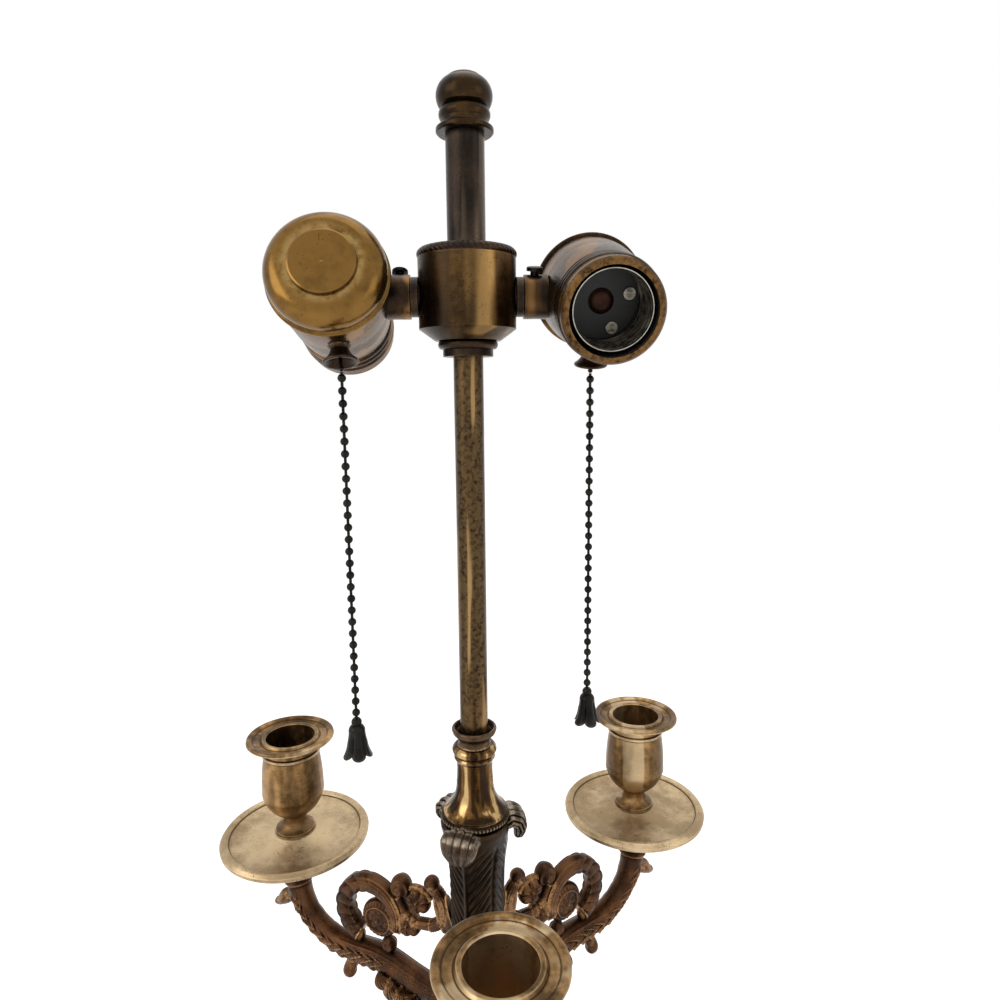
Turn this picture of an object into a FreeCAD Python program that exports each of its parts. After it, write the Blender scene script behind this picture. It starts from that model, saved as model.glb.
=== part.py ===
import FreeCAD, Part

import math
import os

import Sketcher
from FreeCAD import Vector

# Bouillotte lamp: dish base, column, three scroll arms with candle cups, and a two-way cluster of
# pull-chain lampholders under a riser and finial. Millimetres. The origin is on the lamp's axis, on
# the table. X is to the right, Y is away from the viewer and Z is up.

SIZES = {
    # shared fits
    "slip_gap": 0.1,
    "running_gap": 0.06,
    "face_gap": 0.2,
    # threaded centre pipe and its hardware
    "pipe_radius": 5.0,
    "pipe_bore": 3.5,
    "pipe_tail": 3.0,
    "pipe_nut_flats": 14.0,
    "pipe_nut_height": 4.0,
    "washer_radius": 20.0,
    "washer_thickness": 1.5,
    # felt and dish base
    "felt_thickness": 2.0,
    "foot_radius": 74.0,
    "foot_wall": 11.0,
    "foot_height": 18.0,
    "base_floor": 4.0,
    "dish_radius": 100.0,
    "dish_inner_radius": 93.0,
    "dish_rim_height": 31.0,
    "dish_step_radius": 42.0,
    "pedestal_radius": 24.0,
    "base_height": 48.0,
    "weight_radius": 50.0,
    "weight_thickness": 8.0,
    "weight_bore": 12.0,
    # cord inlet in the foot
    "inlet_bore": 3.2,
    "inlet_sleeve": 4.6,
    "inlet_flange": 6.2,
    "inlet_flange_thickness": 1.6,
    "inlet_height": 8.5,
    # column
    "column_foot_height": 24.0,
    "column_foot_radius": 21.0,
    "column_neck_radius": 11.5,
    "shaft_height": 174.0,
    "shaft_foot_radius": 17.0,
    "shaft_low_radius": 15.5,
    "shaft_top_radius": 9.4,
    # hub that takes the arms
    "hub_height": 28.0,
    "hub_radius": 17.0,
    "hub_end_radius": 14.0,
    "tenon_radius": 4.0,
    "tenon_length": 8.0,
    "arm_screw_radius": 1.5,
    "arm_screw_head": 2.6,
    "arm_screw_head_height": 1.8,
    # scroll arms
    "arm_reach": 95.6,
    "arm_rise": 55.0,
    "front_arm_azimuth": 6.6,
    "arm_neck_radius": 7.8,
    "arm_waist_radius": 6.3,
    "arm_root_radius": 5.2,
    "arm_bend": 28.0,
    "arm_level": 8.0,
    "arm_dip_run": 36.0,
    "scroll_radius": 14.0,
    "scroll_band": 3.3,
    "scroll_reach": 54.0,
    "scroll_level": 30.0,
    "eye_radius": 9.0,
    "rosette_radius": 6.0,
    "rosette_thickness": 8.0,
    "curl_radius": 10.3,
    "curl_band": 2.6,
    "curl_reach": 26.0,
    "curl_level": 42.0,
    "lug_height": 18.0,
    "lug_thickness": 5.0,
    # drip pans and candle cups
    "pan_radius": 34.2,
    "pan_lip_radius": 30.5,
    "pan_edge": 4.2,
    "pan_floor": 3.2,
    "pan_boss_radius": 10.0,
    "pan_centre": 5.5,
    "cup_height": 47.5,
    "cup_rim_radius": 20.0,
    "cup_rim_height": 3.4,
    "cup_bore": 11.1,
    "cup_bore_depth": 31.0,
    "cup_neck_radius": 12.5,
    "cup_belly_radius": 14.0,
    "cup_belly_height": 21.5,
    "cup_waist_radius": 5.5,
    "cup_waist_height": 8.0,
    "cup_foot_radius": 9.0,
    "stud_radius": 2.5,
    "stud_depth": 8.0,
    "stud_rise": 9.0,
    # leaf sleeve, bell neck, stem
    "sleeve_height": 79.6,
    "sleeve_foot_radius": 11.6,
    "sleeve_waist_radius": 10.9,
    "sleeve_top_radius": 13.6,
    "bead_ring_height": 3.6,
    "leaf_count": 3,
    "leaf_azimuth": -20.0,
    "leaf_width": 13.0,
    "leaf_thickness": 2.4,
    "leaf_curl": 6.0,
    "leaf_drop": 12.4,
    "bell_height": 29.4,
    "bell_radius": 13.1,
    "bell_throat": 7.4,
    "bell_bead": 9.05,
    "bell_bead_height": 4.6,
    "stem_cup_height": 7.4,
    "stem_cup_radius": 9.1,
    "stem_cup_depth": 4.7,
    "stem_radius": 5.6,
    "stem_bore": 5.1,
    "stem_length": 147.6,
    # cluster and riser
    "ring_height": 5.8,
    "ring_radius": 10.5,
    "ring_low_radius": 9.4,
    "cluster_radius": 18.1,
    "cluster_wall": 1.4,
    "cluster_bevel": 4.2,
    "cluster_height": 29.7,
    "cluster_floor": 4.5,
    "cap_height": 3.0,
    "cap_boss_radius": 10.0,
    "cap_boss_depth": 6.0,
    "riser_radius": 7.05,
    "riser_bore": 5.0,
    "riser_length": 39.8,
    "riser_seat": 5.0,
    "finial_height": 20.0,
    "finial_ball": 10.1,
    "finial_flange": 10.4,
    "finial_neck": 8.6,
    "finial_spigot": 10.0,
    # lampholders
    "holder_offset": 48.2,
    "holder_drop": 13.8,
    "holder_yaw": 3.4,
    "left_tilt": 18.5,
    "right_tilt": 15.6,
    "nipple_radius": 5.0,
    "nipple_bore": 3.6,
    "nipple_length": 13.4,
    "ring_nut_radius": 7.2,
    "ring_nut_thickness": 2.4,
    "shell_wall": 0.7,
    "shell_rear": 15.8,
    "shell_rear_radius": 20.3,
    "shell_front": 34.0,
    "shell_front_radius": 17.8,
    "shell_step": 18.0,
    "shell_rib_pitch": 3.6,
    "shell_rib_height": 0.7,
    "shell_lip_radius": 15.2,
    "neck_radius": 8.0,
    "cap_seam": 15.7,
    "cap_bead_radius": 21.9,
    "dome_depth": 11.0,
    "dome_wall": 0.8,
    "disc_radius": 11.5,
    "liner_radius": 16.65,
    "liner_wall": 0.9,
    "liner_rear": 2.0,
    "thread_bore": 13.25,
    "thread_wall": 0.8,
    "thread_front": 31.5,
    "insulator_radius": 15.2,
    "insulator_rear": 13.0,
    "insulator_front": 9.6,
    "contact_radius": 4.6,
    "contact_height": 1.6,
    "contact_depth": 0.3,
    "thread_seat": 0.35,
    "terminal_radius": 2.2,
    "terminal_height": 1.3,
    "terminal_circle": 10.4,
    # pull-chain switch, and its turn about the lampholder's axis
    "left_switch_turn": 5.6,
    "right_switch_turn": 0.0,
    "guide_station": 3.0,
    "guide_mouth": 6.7,
    "guide_throat": 3.3,
    "guide_bore": 2.3,
    "guide_length": 6.6,
    "pull_travel": 6.0,
    "link_radius": 0.6,
    "link_ball": 1.55,
    "link_eye": 0.95,
    "link_overhang": 2.0,
    "lever_arm": 8.0,
    "lever_hub": 2.0,
    "lever_half_width": 2.8,
    "lever_tine": 0.7,
    "pin_radius": 1.0,
    "slot_half_width": 4.4,
    "spring_wire": 0.4,
    "spring_turns": 3,
    # chain and pull
    "bead_radius": 1.55,
    "bead_pitch": 4.525,
    "bead_link": 0.55,
    "bead_count": 29,
    "bell_pull_length": 15.5,
    "bell_pull_radius": 4.6,
    # thumb screw on the neck
    "thumb_station": 23.4,
    "thumb_shank": 1.5,
    "thumb_waist": 1.7,
    "thumb_head": 3.0,
    "thumb_head_height": 1.5,
    "thumb_rise": 2.8,
}

UP = Vector(0, 0, 1)
ALONG_X = Vector(1, 0, 0)
ALONG_Y = Vector(0, 1, 0)


class Size:
    """A number together with the sheet expression that it comes from."""

    def __init__(self, value, text):
        self.value = float(value)
        self.text = text

    def __add__(self, other):
        return Size(self.value + plain(other), f"({self.text} + {written(other)})")

    def __sub__(self, other):
        return Size(self.value - plain(other), f"({self.text} - {written(other)})")

    def __mul__(self, other):
        return Size(self.value * plain(other), f"({self.text} * {written(other)})")

    def __truediv__(self, other):
        return Size(self.value / plain(other), f"({self.text} / {written(other)})")

    def __radd__(self, other):
        return Size(plain(other) + self.value, f"({written(other)} + {self.text})")

    def __rsub__(self, other):
        return Size(plain(other) - self.value, f"({written(other)} - {self.text})")

    def __rmul__(self, other):
        return Size(plain(other) * self.value, f"({written(other)} * {self.text})")

    def __neg__(self):
        return Size(-self.value, f"(0 - {self.text})")


class Sheet:
    """The spreadsheet of driving sizes: each alias reads as a Size."""

    def __init__(self, doc):
        self.cells = doc.addObject("Spreadsheet::Sheet", "Sizes")
        for row, (name, value) in enumerate(SIZES.items(), 1):
            self.cells.set(f"A{row}", name)
            self.cells.set(f"B{row}", str(value))
            self.cells.setAlias(f"B{row}", name)
        doc.recompute()

    def __getattr__(self, name):
        return Size(self.cells.get(name), f"Sizes.{name}")


def plain(size):
    """The number of a Size, or a number as it is."""
    return size.value if isinstance(size, Size) else float(size)


def written(size):
    """The expression of a Size, or a number in words the sheet reads."""
    return size.text if isinstance(size, Size) else repr(size)


def bind(item, name, size):
    """Set a property, and tie it to the sheet if it is a Size."""
    if isinstance(size, Size):
        item.setExpression(name, size.text)
    else:
        setattr(item, name, size)


def vector(at):
    """A place given by three sizes, as a vector."""
    return Vector(*[plain(part) for part in at])


def place(item, at, rotation=FreeCAD.Rotation()):
    """Put an object at a place whose coordinates follow the sheet."""
    item.Placement = FreeCAD.Placement(vector(at), rotation)
    for letter, size in zip("xyz", at):
        if isinstance(size, Size):
            item.setExpression(f"Placement.Base.{letter}", size.text)


doc = FreeCAD.newDocument("BouillotteLamp")
s = Sheet(doc)
nodes = []


def new_body(label):
    """An empty body that makes one node of the lamp."""
    body = doc.addObject("PartDesign::Body", label)
    body.Label = label
    nodes.append(body)
    return body


def loose_shape(label, shape):
    """A node whose shape is worked out from the sheet's sizes here."""
    item = doc.addObject("Part::Feature", label)
    item.Label = label
    item.Shape = shape
    nodes.append(item)
    return item


def arc_between(start, end, bulge):
    """Arc from start to end that stands out by bulge to the right of the way, or to the left if it is negative."""
    chord = end - start
    height = abs(bulge)
    radius = (chord.Length ** 2 / 4 + height ** 2) / (2 * height)
    left = Vector(-chord.y, chord.x, 0).normalize()
    if bulge < 0:
        left = -left
    centre = (start + end) / 2 + left * (radius - height)
    first, last = (start, end) if bulge > 0 else (end, start)
    begin = math.atan2(first.y - centre.y, first.x - centre.x)
    finish = math.atan2(last.y - centre.y, last.x - centre.x)
    if finish <= begin:
        finish += 2 * math.pi
    return Part.ArcOfCircle(Part.Circle(centre, UP, radius), begin, finish)


def arc_radius(corner, after):
    """The radius of the arc that leaves a corner, from its chord and its bulge."""
    across, rise, bulge = after[0] - corner[0], after[1] - corner[1], corner[2]
    reach = (across * across + rise * rise) / 4 + bulge * bulge
    half = reach / (2 * bulge)
    return half if plain(bulge) > 0 else -1 * half


def outline(body, corners, plane="XZ_Plane"):
    """A closed sketch. Each corner is (across, up) or, where an arc leaves it, (across, up, bulge)."""
    sketch = body.newObject("Sketcher::SketchObject", "Outline")
    planes = [item for item in body.Origin.OriginFeatures if item.Role == plane]
    sketch.AttachmentSupport = (planes[0], [""])
    sketch.MapMode = "FlatFace"
    ends = []
    for corner, after in zip(corners, corners[1:] + corners[:1]):
        start = Vector(plain(corner[0]), plain(corner[1]), 0)
        end = Vector(plain(after[0]), plain(after[1]), 0)
        bulge = plain(corner[2]) if len(corner) > 2 else 0.0
        edge = arc_between(start, end, bulge) if bulge else Part.LineSegment(start, end)
        index = sketch.addGeometry(edge, False)
        ends.append((index, 1, 2) if bulge >= 0 else (index, 2, 1))
    for here, after in zip(ends, ends[1:] + ends[:1]):
        sketch.addConstraint(Sketcher.Constraint("Coincident", here[0], here[2], after[0], after[1]))
    for corner, after, (index, start, _) in zip(corners, corners[1:] + corners[:1], ends):
        hold(sketch, Sketcher.Constraint("DistanceX", -1, 1, index, start, plain(corner[0])), corner[0])
        hold(sketch, Sketcher.Constraint("DistanceY", -1, 1, index, start, plain(corner[1])), corner[1])
        if len(corner) > 2:
            radius = arc_radius([as_size(size) for size in corner], [as_size(size) for size in after])
            hold(sketch, Sketcher.Constraint("Radius", index, radius.value), radius)
    return sketch


def as_size(size):
    """A plain number as a Size, so that sums of both kinds work alike."""
    return size if isinstance(size, Size) else Size(size, repr(float(size)))


def hold(sketch, constraint, size):
    """Add a sketch dimension and tie it to the sheet."""
    index = sketch.addConstraint(constraint)
    if isinstance(size, Size):
        sketch.setExpression(f"Constraints[{index}]", size.text)


def revolve(body, corners):
    """Turn a half section about the body's own Z axis."""
    sketch = outline(body, corners)
    turn = body.newObject("PartDesign::Revolution", "Turn")
    turn.Profile = sketch
    turn.ReferenceAxis = (sketch, ["V_Axis"])
    turn.Angle = 360
    return turn


def turned(label, corners, at=(0, 0, 0)):
    """A node that is one turned piece."""
    body = new_body(label)
    revolve(body, corners)
    place(body, at)
    return body


def shaped(body, kind, at, along=UP, **sizes):
    """A primitive added to a body or cut from it, with its own axis along a direction."""
    item = body.newObject(f"PartDesign::{kind}", kind)
    for name, size in sizes.items():
        bind(item, name, size)
    place(item, at, FreeCAD.Rotation(UP, along))
    body.Tip = item
    return item


def around(body, features, count):
    """Repeat features of a body evenly about its Z axis."""
    axes = [item for item in body.Origin.OriginFeatures if item.Role == "Z_Axis"]
    pattern = body.newObject("PartDesign::PolarPattern", "Around")
    pattern.Originals = features
    pattern.Axis = (axes[0], [""])
    pattern.Angle = 360
    bind(pattern, "Occurrences", count)
    body.Tip = pattern
    return pattern


def fused(solids):
    """One solid from several that overlap."""
    whole = solids[0].multiFuse(solids[1:]).removeSplitter()
    return whole.Solids[0] if len(whole.Solids) == 1 else whole


def ring_of(shape, azimuths, label):
    """A node of equal solids, turned about the lamp's axis to each azimuth."""
    copies = []
    for azimuth in azimuths:
        copy = shape.copy()
        copy.rotate(Vector(0, 0, 0), UP, azimuth)
        copies.append(copy)
    return loose_shape(label, Part.makeCompound(copies))


# Heights of the joints up the axis, from the table to the finial.

base_top = s.felt_thickness + s.base_height
column_foot_top = base_top + s.column_foot_height
hub_low = column_foot_top + s.shaft_height
hub_top = hub_low + s.hub_height
arm_axis = hub_low + s.hub_height / 2
sleeve_top = hub_top + s.sleeve_height
bell_top = sleeve_top + s.bell_height
stem_low = bell_top + s.stem_cup_height
stem_top = stem_low + s.stem_length
cluster_low = stem_top + s.ring_height
cluster_top = cluster_low + s.cluster_height
riser_low = cluster_top + s.cap_height
riser_top = riser_low + s.riser_length
holder_axis = cluster_top - s.holder_drop
pipe_hole = s.pipe_radius + s.slip_gap

# The three arms stand evenly about the axis. Azimuth is the turn from X.

arm_azimuths = {
    "front": s.front_arm_azimuth - 90,
    "right": s.front_arm_azimuth + 30,
    "left": s.front_arm_azimuth + 150,
}


def base_parts():
    """Felt, dish base, ballast and the hardware under it."""
    turned("felt_pad", [
        (0, 0),
        (s.foot_radius, 0),
        (s.foot_radius, s.felt_thickness),
        (0, s.felt_thickness),
    ])

    base = new_body("dish_base")
    cavity = s.foot_radius - s.foot_wall
    floor = s.foot_height + s.base_floor
    rim = s.dish_rim_height
    revolve(base, [
        (cavity, 0),
        (s.foot_radius, 0),
        (s.foot_radius, 5, 1),
        (s.foot_radius - 3, s.foot_height - 5, -2),
        (s.foot_radius + 2, s.foot_height),
        (s.dish_inner_radius, s.foot_height + 1, 1.5),
        (s.dish_radius, rim - 7, -1),
        (s.dish_radius - 0.5, rim - 3, 1.8),
        (s.dish_inner_radius, rim - 2, -1.5),
        (s.dish_inner_radius - 4, floor),
        (s.dish_step_radius, floor),
        (s.dish_step_radius, floor + 2, 1.5),
        (s.dish_step_radius - 5, floor + 5),
        (s.dish_step_radius - 7, floor + 5, -4),
        (s.pedestal_radius, s.base_height - 6),
        (s.pedestal_radius, s.base_height - 4, 1.8),
        (s.pedestal_radius - 1, s.base_height),
        (pipe_hole, s.base_height),
        (pipe_hole, s.base_height - s.base_floor),
        (s.pedestal_radius - s.base_floor, s.base_height - s.base_floor),
        (s.pedestal_radius - s.base_floor, s.base_height - 14),
        (s.dish_step_radius - 8, floor),
        (s.dish_step_radius - 8, s.foot_height),
        (cavity, s.foot_height),
    ])
    shaped(base, "SubtractiveCylinder", (0, cavity - 4, s.inlet_height), ALONG_Y,
           Radius=s.inlet_sleeve + s.slip_gap, Height=s.foot_wall + 12)
    place(base, (0, 0, s.felt_thickness))

    bushing = new_body("cord_bushing")
    seat = s.foot_radius + s.slip_gap
    shaped(bushing, "AdditiveCylinder", (0, cavity - 1, 0), ALONG_Y,
           Radius=s.inlet_sleeve, Height=s.foot_wall + 1 + s.slip_gap)
    shaped(bushing, "AdditiveCylinder", (0, seat, 0), ALONG_Y,
           Radius=s.inlet_flange, Height=s.inlet_flange_thickness)
    shaped(bushing, "SubtractiveCylinder", (0, cavity - 2, 0), ALONG_Y,
           Radius=s.inlet_bore, Height=s.foot_wall + s.inlet_flange_thickness + 4)
    place(bushing, (0, 0, s.felt_thickness + s.inlet_height))

    weight_low = s.felt_thickness + s.foot_height - s.weight_thickness
    turned("base_weight", [
        (s.weight_bore, 0),
        (s.weight_radius, 0),
        (s.weight_radius, s.weight_thickness),
        (s.weight_bore, s.weight_thickness),
    ], (0, 0, weight_low))
    turned("base_washer", [
        (pipe_hole, 0),
        (s.washer_radius, 0),
        (s.washer_radius, s.washer_thickness),
        (pipe_hole, s.washer_thickness),
    ], (0, 0, weight_low - s.washer_thickness))
    return weight_low - s.washer_thickness


def pipe_parts(washer_low):
    """Threaded pipe from the base to the cluster, with a nut at each end."""
    nut_low = washer_low - s.pipe_nut_height
    cluster_floor = cluster_low + s.cluster_floor
    pipe_top = cluster_floor + s.pipe_nut_height + 1
    turned("centre_pipe", [
        (s.pipe_bore, 0),
        (s.pipe_radius, 0),
        (s.pipe_radius, pipe_top - s.pipe_tail),
        (s.pipe_bore, pipe_top - s.pipe_tail),
    ], (0, 0, s.pipe_tail))
    corner = plain(s.pipe_nut_flats) / 2 / math.cos(math.pi / 6)
    height = plain(s.pipe_nut_height)
    points = [Vector(corner * math.cos(k * math.pi / 3), corner * math.sin(k * math.pi / 3), 0) for k in range(7)]
    nut = Part.Face(Part.makePolygon(points)).extrude(Vector(0, 0, height))
    nut = nut.cut(Part.makeCylinder(plain(pipe_hole), height))
    upper = nut.copy()
    nut.translate(Vector(0, 0, plain(nut_low)))
    upper.translate(Vector(0, 0, plain(cluster_floor)))
    loose_shape("pipe_nuts", Part.makeCompound([nut, upper]))


def column_parts():
    """Turned foot and shaft between the base and the arm hub."""
    tall = s.column_foot_height
    turned("column_foot", [
        (pipe_hole, 0),
        (s.column_foot_radius - 1, 0, 2),
        (s.column_foot_radius - 1, 6),
        (s.column_foot_radius - 4, 7, -3),
        (s.column_neck_radius, tall - 9),
        (s.column_neck_radius + 1, tall - 8, 1.6),
        (s.column_neck_radius + 1, tall - 4),
        (s.column_neck_radius - 0.5, tall - 3),
        (s.column_neck_radius - 0.5, tall),
        (pipe_hole, tall),
    ], (0, 0, base_top))

    shaft = new_body("column_shaft")
    top = s.shaft_height
    revolve(shaft, [
        (pipe_hole, 0),
        (s.shaft_foot_radius - 3, 0, 2),
        (s.shaft_foot_radius - 3, 8),
        (s.shaft_low_radius - 5, 10, -2),
        (s.shaft_low_radius, 24, 2.5),
        (s.shaft_top_radius, top - 22),
        (s.shaft_top_radius - 0.8, top - 15, -1),
        (s.shaft_top_radius, top - 9),
        (s.shaft_top_radius + 2, top - 8, 1.2),
        (s.shaft_top_radius + 2, top - 4),
        (s.shaft_top_radius, top - 3),
        (s.shaft_top_radius, top),
        (pipe_hole, top),
    ])
    place(shaft, (0, 0, column_foot_top))


def hub_parts():
    """Knop that takes the tenons of the arms, and the screws that pin them."""
    hub = new_body("arm_hub")
    tall, mid = s.hub_height, s.hub_height / 2
    facet = s.tenon_radius + 2
    revolve(hub, [
        (pipe_hole, 0),
        (s.hub_end_radius - 1, 0),
        (s.hub_end_radius, 2, 1.2),
        (s.hub_radius, mid - facet),
        (s.hub_radius, mid + facet, 1.2),
        (s.hub_end_radius, tall - 2),
        (s.hub_end_radius - 1.5, tall),
        (pipe_hole, tall),
    ])
    deep = s.hub_radius - s.tenon_length - s.face_gap
    for azimuth in arm_azimuths.values():
        way = Vector(math.cos(math.radians(azimuth.value)), math.sin(math.radians(azimuth.value)), 0)
        shaped(hub, "SubtractiveCylinder", (way.x * deep.value, way.y * deep.value, mid), way,
               Radius=s.tenon_radius + s.slip_gap, Height=s.tenon_length + 4)
        out = screw_circle().value
        shaped(hub, "SubtractiveCylinder", (way.x * out, way.y * out, -1), UP,
               Radius=s.arm_screw_radius + s.slip_gap, Height=mid)
    place(hub, (0, 0, hub_low))

    length = plain(s.hub_height / 2 - s.tenon_radius) - 2 * plain(s.slip_gap)
    screw = Part.makeCylinder(plain(s.arm_screw_radius), length, Vector(screw_circle().value, 0, 0))
    head = Part.makeCylinder(plain(s.arm_screw_head), plain(s.arm_screw_head_height),
                             Vector(screw_circle().value, 0, -plain(s.arm_screw_head_height)))
    whole = fused([screw, head])
    whole.translate(Vector(0, 0, hub_low.value))
    ring_of(whole, [azimuth.value for azimuth in arm_azimuths.values()], "arm_screws")


def screw_circle():
    """Radius at which the pinning screws stand, under the middle of each tenon."""
    return s.hub_radius - s.tenon_length / 2


def disc_at(reach, level, radius, thickness):
    """Round plate on the arm's plane, its axis square to that plane."""
    start = Vector(reach, -thickness / 2, level)
    return Part.makeCylinder(radius, thickness, start, ALONG_Y)


def bar_between(start, end, radius):
    """Round bar between two places (reach, level) on the arm's plane, with round ends."""
    first, last = Vector(start[0], 0, start[1]), Vector(end[0], 0, end[1])
    way = last - first
    rod = Part.makeCylinder(radius, way.Length, first, way)
    return [rod, Part.makeSphere(radius, first), Part.makeSphere(radius, last)]


def curl(reach, level, radius, band, begin, finish):
    """Round band bent about a centre on the arm's plane, from one angle to another, in degrees."""
    edge = Part.Arc(*[
        Vector(reach + radius * math.cos(math.radians(angle)), 0, level + radius * math.sin(math.radians(angle)))
        for angle in (begin, (begin + finish) / 2, finish)
    ]).toShape()
    start = edge.valueAt(edge.FirstParameter)
    heading = edge.tangentAt(edge.FirstParameter)
    section = Part.Wire(Part.Circle(start, heading, band).toShape())
    return Part.Wire(edge).makePipeShell([section], True, False)


def branch_stations():
    """Places, headings and radii down the main branch, from the neck's top face to the hub."""
    reach, bend = plain(s.arm_reach), plain(s.arm_bend)
    level, run = plain(s.arm_level), plain(s.arm_dip_run)
    root = plain(s.hub_radius) + plain(s.slip_gap)
    neck, waist, end = plain(s.arm_neck_radius), plain(s.arm_waist_radius), plain(s.arm_root_radius)
    corner = Vector(reach - bend, 0, level + bend)
    top = plain(s.arm_rise)
    yield Vector(reach, 0, top), Vector(0, 0, -1), neck
    yield Vector(reach, 0, (top + corner.z) / 2 + 1), Vector(0, 0, -1), (neck + waist) / 2
    for angle in range(0, 91, 15):
        turn = math.radians(angle)
        out = Vector(math.cos(turn), 0, -math.sin(turn))
        yield corner + out * bend, Vector(out.z, 0, -out.x), waist + math.sin(2 * turn)
    start = root + run
    swing = (run ** 2 + level ** 2) / (4 * level)
    sweep = math.asin(run / 2 / swing)
    for part in (0.0, 0.5, 1.0):
        turn = sweep * part
        place_now = Vector(start - swing * math.sin(turn), 0, level - swing * (1 - math.cos(turn)))
        yield place_now, Vector(-math.cos(turn), 0, -math.sin(turn)), waist + (end - waist) * part / 2
    for part in (0.5, 0.0):
        turn = sweep * part
        place_now = Vector(root + swing * math.sin(turn), 0, swing * (1 - math.cos(turn)))
        yield place_now, Vector(-math.cos(turn), 0, -math.sin(turn)), end + (waist - end) * part / 2


def arm_shape():
    """One scroll arm in its own frame: X outwards, Z up, the tenon's axis at the origin."""
    circles = [Part.Wire(Part.Circle(at, heading, radius).toShape()) for at, heading, radius in branch_stations()]
    branch = Part.makeLoft(circles, True, False)
    reach, rise = plain(s.arm_reach), plain(s.arm_rise)
    solids = [branch]
    for step in range(3):
        low = Vector(reach, 0, rise - 5.2 - 4 * step)
        solids.append(Part.makeCylinder(plain(s.arm_neck_radius) + 0.7 - 0.4 * step, 2.2, low))
    root = plain(s.hub_radius)
    tenon = plain(s.tenon_length)
    solids.append(Part.makeCylinder(plain(s.tenon_radius), tenon + 2, Vector(root - tenon, 0, 0), ALONG_X))

    whorl = (plain(s.scroll_reach), plain(s.scroll_level))
    radius, band = plain(s.scroll_radius), plain(s.scroll_band)
    thick = plain(s.rosette_thickness)
    solids.append(curl(*whorl, radius, band, -62, 60))
    solids.append(curl(*whorl, radius, band, 59, 200))
    solids.append(disc_at(whorl[0] - 3, whorl[1] - 4.5, plain(s.eye_radius), thick))
    solids.append(Part.makeSphere(4.4, Vector(whorl[0] - 3, 0, whorl[1] - 4.5)))
    solids.append(Part.makeSphere(4.6, Vector(whorl[0] - radius, 0, whorl[1] + radius + 0.6)))

    hook = (plain(s.curl_reach), plain(s.curl_level))
    turn, thin = plain(s.curl_radius), plain(s.curl_band)
    flower = (hook[0] + 8.8, hook[1] - 16)
    rosette = (hook[0] + 3, hook[1] - 2)
    solids.append(curl(*hook, turn, thin, 95, 180))
    solids.append(curl(*hook, turn, thin, 179, 250))
    solids.append(Part.makeSphere(thin + 0.8, Vector(hook[0] - 1, 0, hook[1] + turn)))
    solids.append(disc_at(*rosette, plain(s.rosette_radius), thick - 1))
    solids.append(disc_at(*flower, plain(s.rosette_radius), thick - 1))
    hook_end = (hook[0] - turn * 0.34, hook[1] - turn * 0.94)
    solids += bar_between(hook_end, (flower[0] - 3, flower[1] + 1), thin + 0.3)
    solids += bar_between((whorl[0] - radius, whorl[1] + 6), (flower[0], flower[1] + 2), 1.9)

    lug = plain(s.lug_height)
    lug_start = plain(s.sleeve_foot_radius) + plain(s.face_gap)
    lug_end = hook[0] - turn + 1
    plate = Part.makeBox(lug_end - lug_start, plain(s.lug_thickness), lug,
                         Vector(lug_start, -plain(s.lug_thickness) / 2, hook[1] - lug / 2))
    solids.append(plate)

    bend = plain(s.arm_bend)
    level = plain(s.arm_level)
    waist = plain(s.arm_waist_radius)
    solids += bar_between((reach + 3, level + bend - 12), (reach + 12.5, level + bend - 19), 2.8)
    solids += bar_between((reach - bend, level - waist + 2), (reach - bend, level - waist - 9), 2.2)
    solids.append(Part.makeSphere(3.4, Vector(reach - bend, 0, level - waist - 9)))
    solids += bar_between((45.5, level + waist - 3), (45.5, level + waist + 4), 2.4)
    solids += bar_between((62, level + waist - 3), (60, level + waist + 3), 2.0)
    for reach_now, drop, size in ((47, 6, 4.6), (40, 8.5, 5.2), (33, 10.5, 4.8)):
        solids.append(Part.makeSphere(size, Vector(reach_now, 0, level - drop)))
    arm = fused(solids)
    hole = Part.makeCylinder(plain(s.stud_radius) + plain(s.slip_gap), plain(s.stud_depth) + 1,
                             Vector(reach, 0, rise - plain(s.stud_depth) - 1))
    return arm.cut(hole).Solids[0]


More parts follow.
